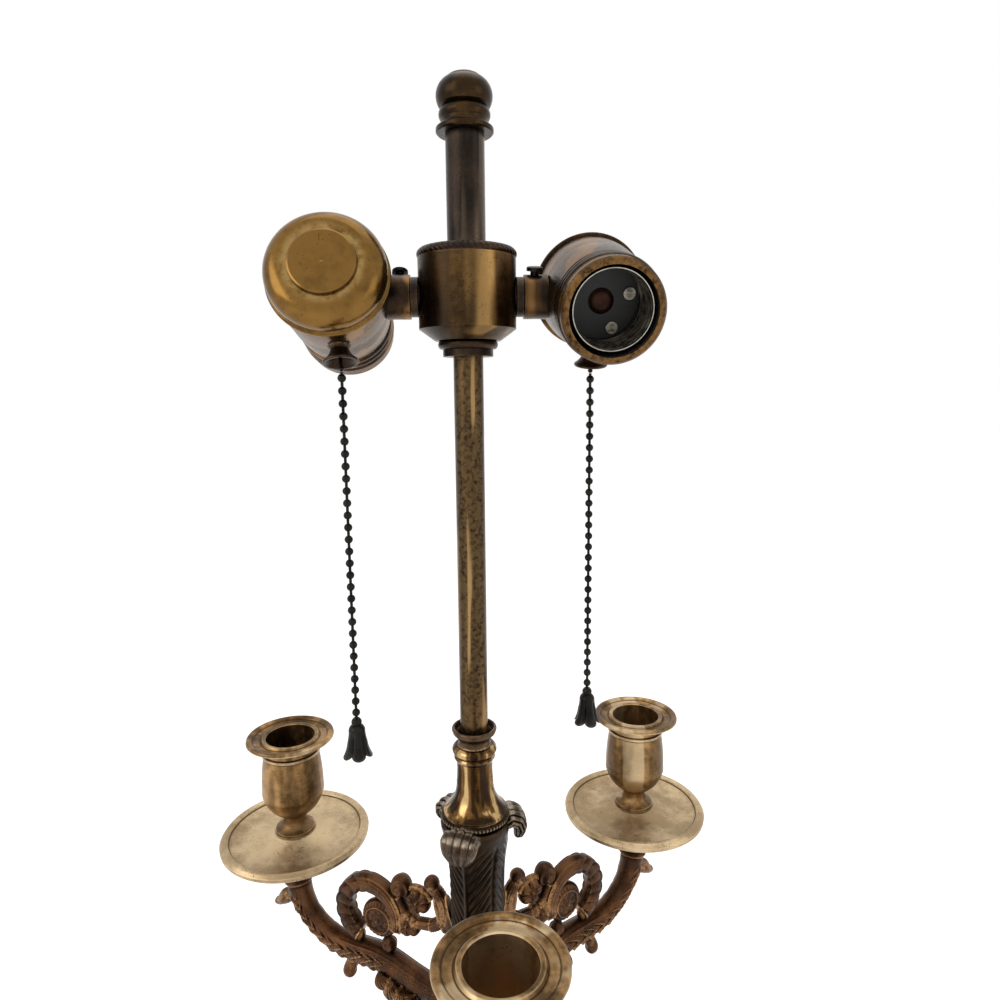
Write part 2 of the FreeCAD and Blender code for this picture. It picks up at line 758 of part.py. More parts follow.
def arm_parts():
    """Arms with their drip pans, candle cups and studs."""
    shape = arm_shape()
    pan_low = arm_axis + s.arm_rise
    cup_low = pan_low + s.pan_centre
    stud_hole = s.stud_radius + s.slip_gap
    for side, azimuth in arm_azimuths.items():
        spin = FreeCAD.Rotation(UP, azimuth.value)
        across = Size(math.cos(math.radians(azimuth.value)), f"cos({azimuth.text})") * s.arm_reach
        away = Size(math.sin(math.radians(azimuth.value)), f"sin({azimuth.text})") * s.arm_reach
        arm = loose_shape(f"arm_{side}", shape)
        place(arm, (0, 0, arm_axis), spin)

        edge_low = s.pan_centre - s.pan_edge - 0.5
        turned(f"drip_pan_{side}", [
            (stud_hole, 0),
            (s.arm_neck_radius + 1.5, 0, -0.6),
            (s.pan_lip_radius - 3, edge_low + 0.6),
            (s.pan_radius - 1.2, edge_low + 0.3, 0.5),
            (s.pan_radius - 0.2, edge_low + 2, 0.3),
            (s.pan_radius - 0.4, edge_low + s.pan_edge - 1.2, 0.7),
            (s.pan_lip_radius + 0.6, edge_low + s.pan_edge, 0.3),
            (s.pan_lip_radius - 0.4, edge_low + s.pan_edge - 1.2),
            (s.pan_lip_radius - 1.5, s.pan_floor, -0.4),
            (s.pan_boss_radius + 8, s.pan_floor - 0.6, -0.5),
            (s.pan_boss_radius, s.pan_centre),
            (stud_hole, s.pan_centre),
        ], (across, away, pan_low))

        top = s.cup_height
        turned(f"candle_cup_{side}", [
            (0, s.stud_rise + 1),
            (stud_hole, s.stud_rise + 1),
            (stud_hole, 0),
            (s.cup_foot_radius, 0),
            (s.cup_foot_radius, 1.2, -1.6),
            (s.cup_waist_radius, s.cup_waist_height, 1.2),
            (s.cup_belly_radius - 0.4, s.cup_belly_height - 4, 0.3),
            (s.cup_belly_radius, s.cup_belly_height, 0.4),
            (s.cup_neck_radius, top - 9),
            (s.cup_neck_radius + 0.7, top - 8.6),
            (s.cup_neck_radius + 0.7, top - 7.6),
            (s.cup_neck_radius, top - 7.2),
            (s.cup_neck_radius, top - s.cup_rim_height - 1.2, -0.5),
            (s.cup_rim_radius - 1.5, top - 2.2),
            (s.cup_rim_radius - 0.2, top - 1.6, 0.8),
            (s.cup_rim_radius - 2, top - 0.1, 0.2),
            (s.cup_rim_radius - 3.2, top - 1.2, -0.3),
            (s.cup_bore + 2.4, top - 1.6),
            (s.cup_bore + 1.6, top - 0.6, 0.2),
            (s.cup_bore, top - 0.9),
            (s.cup_bore, top - s.cup_bore_depth),
            (0, top - s.cup_bore_depth),
        ], (across, away, cup_low))

    reach = plain(s.arm_reach)
    stud = Part.makeCylinder(plain(s.stud_radius), plain(s.stud_depth + s.pan_centre + s.stud_rise),
                             Vector(reach, 0, plain(pan_low - s.stud_depth)))
    ring_of(stud, [azimuth.value for azimuth in arm_azimuths.values()], "cup_studs")


def sleeve_parts():
    """Leaf-cast sleeve, bell-shaped neck, stem cup and stem."""
    sleeve = new_body("leaf_sleeve")
    tall = s.sleeve_height
    bead_low = tall - s.bead_ring_height
    revolve(sleeve, [
        (pipe_hole, 0),
        (s.sleeve_foot_radius, 0),
        (s.sleeve_waist_radius, tall * 0.3, -0.1),
        (s.sleeve_waist_radius + 0.2, tall * 0.6, -0.3),
        (s.sleeve_top_radius - 0.3, tall * 0.84, 0.4),
        (s.sleeve_top_radius - 0.8, bead_low),
        (s.sleeve_top_radius - 0.8, bead_low + 0.3, 1),
        (s.sleeve_top_radius - 0.8, tall - 0.3),
        (s.bell_radius - 0.4, tall),
        (pipe_hole, tall),
    ])
    root = s.sleeve_top_radius - 2.2
    out = root + s.leaf_curl
    crest = bead_low - 0.2
    leaf = outline(sleeve, [
        (root, crest - 11),
        (root + 1.6, crest - 10.6, -0.9),
        (root + 3.6, crest - 1.5 * s.leaf_thickness, -0.8),
        (out + 0.8, crest - s.leaf_drop, 0.3),
        (out + 2.4, crest - s.leaf_drop - 0.4, 0.7),
        (out + 2, crest - 4.4, 1),
        (root + 4, crest - 0.2),
        (root, crest),
    ])
    pad = sleeve.newObject("PartDesign::Pad", "Leaf")
    pad.Profile = leaf
    pad.Midplane = True
    bind(pad, "Length", s.leaf_width)
    sleeve.Tip = pad
    doc.recompute()
    around(sleeve, [pad], s.leaf_count)
    place(sleeve, (0, 0, hub_top), FreeCAD.Rotation(UP, plain(s.leaf_azimuth) - 90))

    bell = s.bell_height
    bead = bell - s.bell_bead_height
    turned("bell_neck", [
        (pipe_hole, 0),
        (s.bell_radius, 0),
        (s.bell_radius, 1, -1.6),
        (s.bell_throat + 0.2, bell * 0.45, -0.2),
        (s.bell_throat, bead - 2.5),
        (s.bell_throat + 0.8, bead - 1),
        (s.bell_bead - 0.8, bead, 1),
        (s.bell_bead - 0.8, bell - 1.2),
        (s.bell_throat + 0.4, bell),
        (pipe_hole, bell),
    ], (0, 0, sleeve_top))

    cup = s.stem_cup_height
    seat = s.stem_radius + s.slip_gap
    turned("stem_cup", [
        (pipe_hole, 0),
        (s.stem_cup_radius - 2.1, 0, -0.5),
        (s.stem_cup_radius - 2.2, 3.2),
        (s.stem_cup_radius - 0.4, 5),
        (s.stem_cup_radius, 6.2, 0.25),
        (s.stem_cup_radius - 0.5, cup),
        (s.stem_cup_radius - 1.1, cup - 0.2),
        (s.stem_cup_radius - 1.7, cup - 2),
        (seat, cup - s.stem_cup_depth + 0.7),
        (seat, cup - s.stem_cup_depth),
        (pipe_hole, cup - s.stem_cup_depth),
    ], (0, 0, bell_top))
    turned("stem_tube", [
        (s.stem_bore, 0),
        (s.stem_radius, 0),
        (s.stem_radius, s.stem_length + s.stem_cup_depth),
        (s.stem_bore, s.stem_length + s.stem_cup_depth),
    ], (0, 0, stem_low - s.stem_cup_depth))


def cluster_parts():
    """Two-way cluster, its knurled cap, the riser and the finial."""
    low, tall = s.ring_low_radius, s.ring_height
    turned("cluster_ring", [
        (pipe_hole, 0),
        (low, 0),
        (low, tall * 0.45),
        (s.ring_radius, tall * 0.5, 0.7),
        (s.ring_radius, tall),
        (pipe_hole, tall),
    ], (0, 0, stem_top))

    body = new_body("cluster_body")
    inside = s.cluster_radius - s.cluster_wall
    revolve(body, [
        (pipe_hole, 0),
        (s.ring_radius + 1.8, 0),
        (s.cluster_radius, s.cluster_bevel),
        (s.cluster_radius, s.cluster_height),
        (inside, s.cluster_height),
        (inside, s.cluster_floor + 2),
        (inside - 2, s.cluster_floor),
        (pipe_hole, s.cluster_floor),
    ])
    level = s.cluster_height - s.holder_drop
    for way in (ALONG_X, -ALONG_X):
        shaped(body, "SubtractiveCylinder", (0, 0, level), way,
               Radius=s.nipple_radius + s.slip_gap, Height=s.cluster_radius + 2)
    place(body, (0, 0, cluster_low), FreeCAD.Rotation(UP, plain(s.holder_yaw)))

    boss = s.cap_boss_depth
    hole = s.riser_radius + s.slip_gap
    turned("cluster_cap", [
        (pipe_hole, 0),
        (s.cap_boss_radius, 0),
        (s.cap_boss_radius, boss - 3),
        (inside - s.slip_gap, boss - 3),
        (inside - s.slip_gap, boss),
        (s.cluster_radius + 0.1, boss, 0.5),
        (s.cluster_radius + 0.1, boss + s.cap_height - 0.6),
        (s.cluster_radius - 0.8, boss + s.cap_height),
        (hole, boss + s.cap_height),
        (hole, boss + s.cap_height - s.riser_seat),
        (pipe_hole, boss + s.cap_height - s.riser_seat),
    ], (0, 0, cluster_top - boss))

    long = s.riser_length + s.riser_seat - s.slip_gap
    turned("riser_tube", [
        (s.riser_bore, 0),
        (s.riser_radius, 0),
        (s.riser_radius, long),
        (s.riser_bore, long),
    ], (0, 0, riser_low - s.riser_seat))

    top = s.finial_height
    ball = s.finial_ball
    turned("finial", [
        (0, -s.finial_spigot),
        (s.riser_bore - s.running_gap - 0.6, -s.finial_spigot),
        (s.riser_bore - s.running_gap, 0.6 - s.finial_spigot),
        (s.riser_bore - s.running_gap, 0),
        (s.finial_flange - 0.5, 0),
        (s.finial_flange, 0.5),
        (s.finial_flange, 1.5, 0.2),
        (s.finial_flange - 0.6, 1.9, -0.5),
        (s.finial_neck, 4.1),
        (s.finial_neck, 4.5, 0.7),
        (s.finial_neck, 8.1),
        (s.finial_neck - 0.5, 8.6),
        (ball - 0.8, 9.3, 2.1),
        (6.4, top - 1.6),
        (6.1, top - 1.2, 0.3),
        (3, top - 0.2),
        (0, top),
    ], (0, 0, riser_top))


class Holder:
    """One pull-chain lampholder. In its own frame Z is the way out of its mouth and X runs to the cluster along the
    side neck. The frame of its switch is turned about Z, and its Y is the way the chain guide points."""

    def __init__(self, side, mirror, tilt, switch_turn):
        self.side = side
        yaw = math.radians(plain(s.holder_yaw))
        lean = math.radians(plain(tilt))
        neck = Vector(math.cos(yaw), math.sin(yaw), 0) * mirror
        level = Vector(-math.sin(yaw), math.cos(yaw), 0) * mirror
        mouth = level * math.cos(lean) - UP * math.sin(lean)
        self.turn = FreeCAD.Rotation(neck, mouth.cross(neck), mouth, "XYZ")
        aside = FreeCAD.Rotation(UP, -plain(switch_turn))
        self.guide_way = aside.multVec(ALONG_Y)
        self.switch_frame = self.turn.multiply(aside)
        offset = -s.holder_offset * mirror
        self.at = (
            offset * Size(math.cos(yaw), f"cos({s.holder_yaw.text})"),
            offset * Size(math.sin(yaw), f"sin({s.holder_yaw.text})"),
            holder_axis,
        )

    def name(self, piece):
        """Node name of a piece of this lampholder."""
        return f"{self.side}_{piece}"

    def seat(self, item, frame=None):
        """Put a piece on the lamp that was made in the lampholder's frame, or in the frame of its switch."""
        place(item, self.at, frame or self.turn)
        return item

    def turned(self, piece, corners):
        """A turned piece about the lampholder's own axis."""
        body = new_body(self.name(piece))
        revolve(body, corners)
        return self.seat(body)

    def loose(self, piece, solids, frame=None):
        """A piece worked out in one of the frames. The group keeps each solid's own turn apart from its seat."""
        return self.seat(loose_shape(self.name(piece), Part.makeCompound(solids)), frame)

    def shell(self):
        """Outer shell with its ribs, lip, side neck and the holes in its wall."""
        wall, step, pitch = s.shell_wall, s.shell_step, s.shell_rib_pitch
        front, edge = s.shell_front_radius, s.shell_front
        ribs = []
        for count in range(3):
            ribs.append((front, step + pitch * count + 0.3, s.shell_rib_height))
            ribs.append((front, step + pitch * (count + 1)))
        body = new_body(self.name("shell"))
        revolve(body, [
            (s.shell_rear_radius - wall, -s.shell_rear),
            (s.shell_rear_radius, -s.shell_rear, 0.3),
            (s.shell_rear_radius - 0.8, 2, 0.3),
            *ribs,
            (front, edge - 1),
            (front - 0.8, edge),
            (s.shell_lip_radius, edge),
            (s.shell_lip_radius, edge - wall),
            (front - wall, edge - wall),
            (front - wall, step),
            (s.shell_rear_radius - 0.8 - wall, 2, -0.3),
        ])
        root = s.shell_front_radius + 0.9
        end = s.holder_offset - s.cluster_radius - s.ring_nut_thickness - s.face_gap * 2
        shaped(body, "AdditiveCylinder", (root, 0, 0), ALONG_X, Radius=s.neck_radius, Height=end - root)
        shaped(body, "SubtractiveCylinder", (root - 3, 0, 0), ALONG_X,
               Radius=s.nipple_radius + s.running_gap, Height=end - root + 5)
        shaped(body, "SubtractiveCylinder", (s.thumb_station, 0, 0), -ALONG_Y,
               Radius=s.thumb_shank + s.running_gap, Height=s.neck_radius + 3)
        way, deep = self.guide_way, s.liner_radius + 1
        shaped(body, "SubtractiveCylinder", (deep * way.x, deep * way.y, -s.guide_station), way,
               Radius=s.guide_bore, Height=8)
        self.seat(body)

    def cap(self):
        """Domed cap with its rolled seam and its flat disc."""
        seam, bead = s.cap_seam, s.cap_bead_radius
        inner = s.shell_rear_radius + s.slip_gap
        wall = s.dome_wall
        crown = seam + s.dome_depth
        self.turned("cap", [
            (0, -crown - 0.5),
            (s.disc_radius - 0.6, -crown - 0.7),
            (s.disc_radius, -crown - 0.4),
            (s.disc_radius, -crown + 0.6),
            (s.disc_radius + 1, -crown + 0.5, 3.8),
            (bead - 1.4, -seam - 0.9),
            (bead - 0.7, -seam - 0.6, 0.6),
            (bead - 0.7, -seam + 0.8),
            (inner, -seam + 0.8),
            (inner, -seam - 0.2),
            (inner - 1.2, -seam - 0.8, -3.5),
            (s.disc_radius - 0.4, -crown + wall + 0.4),
            (0, -crown + wall),
        ])

    def inside(self):
        """Liner, screw shell, switch body, contact and terminal screws."""
        liner = s.liner_radius - s.liner_wall
        lip = s.shell_front - s.shell_wall
        self.turned("liner", [
            (liner, -s.liner_rear),
            (s.liner_radius, -s.liner_rear),
            (s.liner_radius, lip - s.face_gap),
            (liner, lip - s.face_gap),
        ])
        face = s.insulator_front
        rim = face + s.contact_height + s.contact_depth
        skin = s.thread_bore + s.thread_wall
        self.turned("screw_shell", [
            (s.thread_bore, rim),
            (skin, rim),
            (skin, s.thread_front),
            (s.thread_bore, s.thread_front),
        ])

        body = new_body(self.name("insulator"))
        revolve(body, [
            (0, -s.insulator_rear),
            (s.insulator_radius - 1.5, -s.insulator_rear, 0.5),
            (s.insulator_radius, -s.insulator_rear + 1.5),
            (s.insulator_radius, rim - 1),
            (s.insulator_radius - 1, rim),
            (s.thread_bore + s.thread_seat, rim),
            (s.thread_bore + s.thread_seat, face),
            (0, face),
        ])
        half = s.slot_half_width
        shaped(body, "SubtractiveBox", (-half, self.slot_low(), -s.insulator_rear - 1), UP,
               Length=half * 2, Width=s.insulator_radius + 2, Height=s.insulator_rear + 2.5)
        shaped(body, "SubtractiveCylinder", (-half - 2.4, self.pivot()[0], self.pivot()[1]), ALONG_X,
               Radius=s.pin_radius + s.running_gap, Height=half * 2 + 4.8)
        self.seat(body, self.switch_frame)

        self.turned("centre_contact", [
            (0, face),
            (s.contact_radius, face),
            (s.contact_radius, face + 0.5, 0.2),
            (s.contact_radius * 0.55, face + s.contact_height - 0.2),
            (0, face + s.contact_height),
        ])
        out = plain(s.terminal_circle)
        heads = []
        for angle in (115, 195):
            at = Vector(out * math.cos(math.radians(angle)), out * math.sin(math.radians(angle)), plain(face))
            head = Part.makeCylinder(plain(s.terminal_radius), plain(s.terminal_height), at)
            slot = Part.makeBox(6, 0.6, 1, at + Vector(-3, -0.3, plain(s.terminal_height) - 0.5))
            heads.append(head.cut(slot))
        self.loose("terminal_screws", heads)

    def pivot(self):
        """Place (Y, Z) of the switch lever's pin."""
        middle = self.link_start() + s.link_ball + s.lever_tine + s.pull_travel / 2
        return middle, -s.guide_station - s.lever_arm + 0.4

    def slot_low(self):
        """Depth of the slot in the switch body, clear of the link's inner ball."""
        return self.link_start() - s.link_ball - s.face_gap * 2

    def link_start(self):
        """Y of the link's inner ball at rest."""
        return s.insulator_radius - s.pull_travel - 5.6

    def guide_foot(self):
        """Y at which the chain guide stands on the shell."""
        return s.shell_rear_radius - s.face_gap

    def link_end(self):
        """Y of the eye that the chain hangs from."""
        return self.guide_foot() + s.guide_length + s.link_overhang

    def switch(self):
        """Chain guide and pull link."""
        level = -s.guide_station
        mouth = self.guide_foot() + s.guide_length
        foot = self.guide_foot() + s.face_gap
        guide = new_body(self.name("chain_guide"))
        revolve(guide, [
            (s.guide_bore, foot),
            (s.guide_throat + 1, foot),
            (s.guide_throat, foot + 1.2, -0.5),
            (s.guide_mouth - 0.4, mouth - 1, 0.3),
            (s.guide_mouth - 0.6, mouth),
            (s.guide_mouth - 1.2, mouth, 0.4),
            (s.guide_bore, foot + s.guide_length * 0.35),
        ])
        self.seat_across(guide, level)

        start, end = self.link_start(), self.link_end()
        link = new_body(self.name("pull_link"))
        shaped(link, "AdditiveCylinder", (0, 0, start), UP, Radius=s.link_radius, Height=end - start)
        shaped(link, "AdditiveSphere", (0, 0, start), UP, Radius=s.link_ball)
        shaped(link, "AdditiveSphere", (0, 0, end), UP, Radius=s.link_eye)
        self.seat_across(link, level)

    def lever(self):
        """Forked lever that the link's inner ball throws, and its coil spring."""
        across, along = self.pivot()
        half, tine = plain(s.lever_half_width), plain(s.lever_tine)
        hub = Part.makeCylinder(plain(s.lever_hub), 2 * half, Vector(-half, 0, 0), ALONG_X)
        cheek = plain(s.slot_half_width) + 2
        pin = Part.makeCylinder(plain(s.pin_radius), 2 * cheek, Vector(-cheek, 0, 0), ALONG_X)
        wide = half - plain(s.link_radius) - 2 * plain(s.face_gap)
        long = plain(s.lever_arm) + 1
        tines = [Part.makeBox(wide, tine, long, Vector(start, -tine / 2, 0))
                 for start in (-half, half - wide)]
        lever = fused([hub, pin, *tines])
        swing = math.degrees(math.asin(plain(s.pull_travel) / 2 / plain(s.lever_arm)))
        lever.rotate(Vector(0, 0, 0), ALONG_X, swing)
        lever.translate(Vector(0, plain(across), plain(along)))
        self.loose("switch_lever", [lever], self.switch_frame)

        wire = plain(s.spring_wire)
        mean = plain(s.pin_radius) + wire * 1.6
        rings = []
        for count in range(int(plain(s.spring_turns))):
            at = Vector(half + wire * (0.9 + 0.8 * count), plain(across), plain(along))
            rings.append(Part.makeTorus(mean, wire / 2, at, ALONG_X))
        self.loose("lever_spring", [fused(rings)], self.switch_frame)

    def seat_across(self, body, level):
        """Put a piece that was turned about Z on the lampholder, along the way its chain guide points."""
        lie = FreeCAD.Rotation(ALONG_X, -90)
        shift = self.turn.multVec(Vector(0, 0, level.value))
        at = [Size(part.value + move, f"({part.text} + {move!r})") for part, move in zip(self.at, shift)]
        place(body, at, self.switch_frame.multiply(lie))

    def hanging(self):
        """Ball chain and bellflower pull, plumb under the eye of the pull link."""
        eye_place = Vector(0, plain(self.link_end()), -plain(s.guide_station))
        eye = vector(self.at) + self.switch_frame.multVec(eye_place)
        first = s.link_eye + s.bead_pitch / 2 + s.slip_gap
        chain = new_body(self.name("chain"))
        half, thin = s.bead_pitch / 2, s.bead_link
        waist = Size(math.sqrt(plain(s.bead_radius) ** 2 - plain(thin) ** 2),
                     f"sqrt({s.bead_radius.text}^2 - {thin.text}^2)")
        bead = revolve(chain, [
            (0, -half),
            (thin, -half),
            (thin, -waist, s.bead_radius - thin),
            (thin, waist),
            (thin, half),
            (0, half),
        ])
        axes = [item for item in chain.Origin.OriginFeatures if item.Role == "Z_Axis"]
        row = chain.newObject("PartDesign::LinearPattern", "Row")
        row.Originals = [bead]
        row.Direction = (axes[0], [""])
        row.Reversed = True
        bind(row, "Length", s.bead_pitch * (s.bead_count - 1))
        bind(row, "Occurrences", s.bead_count)
        chain.Tip = row
        place(chain, (eye.x, eye.y, as_size(eye.z) - first))

        drop = first + s.bead_pitch * (s.bead_count - 1) + half
        long, wide = s.bell_pull_length, s.bell_pull_radius
        turned(self.name("pull_bell"), [
            (0, 5 - long),
            (2.4, 4 - long),
            (wide - 1.3, -long),
            (wide, -long, -0.3),
            (3.7, 3.5 - long, 0.2),
            (3.4, -7, 0.6),
            (1.9, -3),
            (1.9, -2.5, 0.4),
            (1.2, 0),
            (0, 0),
        ], (eye.x, eye.y, as_size(eye.z) - drop))

    def thumb_screw(self):
        """Thumb screw that locks the neck on its nipple."""
        start = s.nipple_radius + s.running_gap
        rise = s.neck_radius + s.thumb_rise
        screw = new_body(self.name("thumb_screw"))
        revolve(screw, [
            (0, start),
            (s.thumb_shank, start),
            (s.thumb_shank, s.neck_radius + 0.3),
            (s.thumb_waist, s.neck_radius + 0.3, -0.2),
            (s.thumb_waist, rise - s.thumb_head_height),
            (s.thumb_head, rise - s.thumb_head_height + 0.1),
            (s.thumb_head, rise - 0.7, 0.3),
            (s.thumb_head - 0.8, rise),
            (0, rise + 0.1),
        ])
        lie = FreeCAD.Rotation(ALONG_X, 90)
        shift = self.turn.multVec(Vector(plain(s.thumb_station), 0, 0))
        at = [Size(part.value + move, f"({part.text} + {move!r})") for part, move in zip(self.at, shift)]
        place(screw, at, self.turn.multiply(lie))


def nipple_parts(holders):
    """Hollow nipples that carry the lampholders, each with a ring nut on both sides of the cluster's wall."""
    nipples, nuts = [], []
    outer = plain(s.holder_offset - s.cluster_radius)
    inner = outer + plain(s.cluster_radius) - math.sqrt(
        plain(s.cluster_radius - s.cluster_wall) ** 2 - plain(s.ring_nut_radius) ** 2)
    thick = plain(s.ring_nut_thickness)
    for holder in holders:
        tube = Part.makeCylinder(plain(s.nipple_radius), plain(s.nipple_length) + thick + 2,
                                 Vector(inner + thick + 1 - plain(s.nipple_length) - thick - 2, 0, 0), ALONG_X)
        tube = tube.cut(Part.makeCylinder(plain(s.nipple_bore), 60, Vector(0, 0, 0), ALONG_X))
        nipples.append(seated(tube, holder))
        for start in (outer - thick - plain(s.slip_gap) / 2, inner):
            side = Vector(start, 0, 0)
            nut = Part.makeCylinder(plain(s.ring_nut_radius), thick, side, ALONG_X)
            hole = Part.makeCylinder(plain(s.nipple_radius) + plain(s.slip_gap) / 2, thick, side, ALONG_X)
            nuts.append(seated(nut.cut(hole), holder))
    loose_shape("side_nipples", Part.makeCompound(nipples))
    loose_shape("ring_nuts", Part.makeCompound(nuts))


def seated(shape, holder):
    """A copy of a shape moved from a lampholder's frame to the lamp."""
    moved = shape.copy()
    moved.Placement = FreeCAD.Placement(vector(holder.at), holder.turn)
    return moved


def check_and_write():
    """Recompute, refuse anything failed or empty, then write one file for each node."""
    doc.recompute()
    for item in doc.Objects:
        if "Invalid" in item.State or "Error" in item.State:
            owners = [owner.Label for owner in item.InList]
            raise RuntimeError(f"{item.Label} of {owners} failed: {item.State}")
    for node in nodes:
        if node.Shape.isNull() or not node.Shape.isValid():
            raise RuntimeError(f"{node.Label} has no valid shape")
    os.makedirs("parts", exist_ok=True)
    for node in nodes:
        node.Shape.exportStep(f"parts/{node.Label}.step")
        print(f"{node.Label}: {len(node.Shape.Solids)} solid(s), {node.Shape.Volume:.1f} mm3")


pipe_parts(base_parts())
column_parts()
hub_parts()
arm_parts()
sleeve_parts()
cluster_parts()
lampholders = [
    Holder("left", 1, s.left_tilt, s.left_switch_turn),
    Holder("right", -1, s.right_tilt, s.right_switch_turn),
]
for holder in lampholders:
    holder.shell()
    holder.cap()
    holder.inside()
    holder.switch()
    holder.lever()
    holder.hanging()
    holder.thumb_screw()
nipple_parts(lampholders)
check_and_write()
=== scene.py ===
"""Bouillotte lamp in aged brass and dark patinated metal: its looks on the CAD parts.

Sizes are in millimetres until a mesh is made. X is to the right, Y away from the viewer and Z up, and the origin is
on the lamp's axis, on the table.
"""

import logging
import math
from dataclasses import dataclass
from enum import Enum
from typing import Callable, Iterable

import bmesh
import bpy
import numpy as np
from mathutils import Matrix, Vector


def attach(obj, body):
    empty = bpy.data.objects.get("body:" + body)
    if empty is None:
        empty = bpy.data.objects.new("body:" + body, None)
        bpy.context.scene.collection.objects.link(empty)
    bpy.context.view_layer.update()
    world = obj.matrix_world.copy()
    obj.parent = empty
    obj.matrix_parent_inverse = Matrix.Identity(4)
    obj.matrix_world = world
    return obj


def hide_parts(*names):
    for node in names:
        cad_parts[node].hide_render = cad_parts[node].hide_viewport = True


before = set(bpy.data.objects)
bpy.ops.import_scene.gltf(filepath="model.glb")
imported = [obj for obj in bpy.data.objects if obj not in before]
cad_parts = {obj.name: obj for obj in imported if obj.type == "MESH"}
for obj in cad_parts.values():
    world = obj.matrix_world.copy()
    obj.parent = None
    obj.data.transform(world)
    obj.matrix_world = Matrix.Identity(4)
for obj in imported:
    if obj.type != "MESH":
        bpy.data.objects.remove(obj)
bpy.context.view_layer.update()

LOG = logging.getLogger("lamp")
MM = 0.001
TAU = 2 * math.pi
CARVING = "carving"
Colour = tuple[float, float, float]
Relief = Callable[[np.ndarray, np.ndarray], np.ndarray]


# Surfaces


@dataclass
class Skin:
    """A closed surface.

    Attributes:
        points: Places in millimetres, one row each.
        faces: Four point numbers in each row.
    """

    points: np.ndarray
    faces: np.ndarray

    @classmethod
    def of_grid(cls, grid: np.ndarray) -> "Skin":
        """Quads over a grid that closes on itself across its columns.

        Args:
            grid: Places, shaped (rows, columns, 3). The first and last rows stand on one point each.

        Returns:
            The surface.
        """
        rows, columns = grid.shape[:2]
        number = np.arange(rows * columns).reshape(rows, columns)
        beside = np.roll(number, -1, axis=1)
        faces = np.stack([number[:-1], beside[:-1], beside[1:], number[1:]], axis=-1)
        return cls(grid.reshape(-1, 3), faces.reshape(-1, 4))

    @classmethod
    def joined(cls, skins: Iterable["Skin"]) -> "Skin":
        """Several surfaces as one, each keeping its own points."""
        skins = list(skins)
        starts = np.cumsum([0] + [len(skin.points) for skin in skins[:-1]])
        points = np.concatenate([skin.points for skin in skins])
        return cls(points, np.concatenate([skin.faces + start for skin, start in zip(skins, starts)]))


@dataclass(frozen=True)
class Seat:
    """A local frame: its origin and its three directions, as rows."""

    origin: np.ndarray
    axes: np.ndarray

    def put(self, skin: Skin) -> Skin:
        """The surface moved from this frame to the lamp: origin plus each coordinate times its direction."""
        return Skin(self.origin + skin.points @ self.axes, skin.faces)

    @classmethod
    def upright(cls, x: float, y: float, z: float, azimuth: float = 0.0) -> "Seat":
        """A frame that stands upright at a place, turned about Z by an angle in degrees."""
        c, s = math.cos(math.radians(azimuth)), math.sin(math.radians(azimuth))
        return cls(np.array([x, y, z], float), np.array([[c, s, 0], [-s, c, 0], [0, 0, 1]]))


def ridge(value: np.ndarray, centre: float, width: float) -> np.ndarray:
    """A smooth bump of height 1: exp of minus the squared distance from its centre over its width."""
    return np.exp(-(((value - centre) / width) ** 2))


def smooth_step(value: np.ndarray, low: float, high: float) -> np.ndarray:
    """Rises from 0 to 1 between two values as 3t^2 - 2t^3."""
    t = np.clip((value - low) / (high - low), 0, 1)
    return t * t * (3 - 2 * t)


def pebbles(along: np.ndarray, across: np.ndarray, pitch: float) -> np.ndarray:
    """Rows of round grains, each row set half a grain along: the product of two rectified sines."""
    row = np.floor(across / pitch)
    return np.abs(np.sin(math.pi * (along / pitch + 0.5 * row))) * np.abs(np.sin(math.pi * across / pitch))


def bent(corners: list[tuple[float, ...]], step: float = 0.35) -> np.ndarray:
    """A profile's points from its corners.

    A corner's third number is the rise of the arc to the next corner, out of the solid where it is above 0. Points
    on a straight or bent edge lie at equal shares of it, raised by rise * (1 - (2t - 1)^2).

    Args:
        corners: Radius, height and perhaps the rise, in order along the profile.
        step: Length between points.

    Returns:
        Radii and heights, shaped (n, 2).
    """
    runs = []
    for here, after in zip(corners[:-1], corners[1:]):
        start, end = np.array(here[:2], float), np.array(after[:2], float)
        way = end - start
        length = max(float(np.hypot(*way)), 1e-6)
        count = max(1, int(length / step))
        share = np.arange(count)[:, None] / count
        out = np.array([way[1], -way[0]]) / length
        rise = here[2] if len(here) > 2 else 0.0
        runs.append(start + way * share + out * rise * (1 - (2 * share - 1) ** 2))
    return np.concatenate([*runs, np.array([corners[-1][:2]], float)])


def lathe(profile: np.ndarray, sides: int = 96, relief: Relief | None = None) -> Skin:
    """A surface of revolution about Z, closed on the axis or from its last point back to its first.

    Args:
        profile: Radii and heights, out along the bottom and up the outside.
        sides: Steps round the axis.
        relief: Height added to the radius at each height and angle.

    Returns:
        The surface: radius times cosine and sine of the angle, and the height.
    """
    if profile[0, 0] > 1e-6 or profile[-1, 0] > 1e-6:
        if np.hypot(*(profile[0] - profile[-1])) > 1e-6:
            profile = np.concatenate([profile, profile[:1]])
    angle = np.arange(sides) * TAU / sides
    radius, height = np.broadcast_arrays(profile[:, :1], profile[:, 1:])
    radius = np.repeat(radius, sides, axis=1)
    height = np.repeat(height, sides, axis=1)
    turn = np.broadcast_to(angle, radius.shape)
    if relief is not None:
        radius = np.where(radius > 1e-6, radius + relief(height, turn), radius)
    return Skin.of_grid(np.stack([radius * np.cos(turn), radius * np.sin(turn), height], axis=-1))


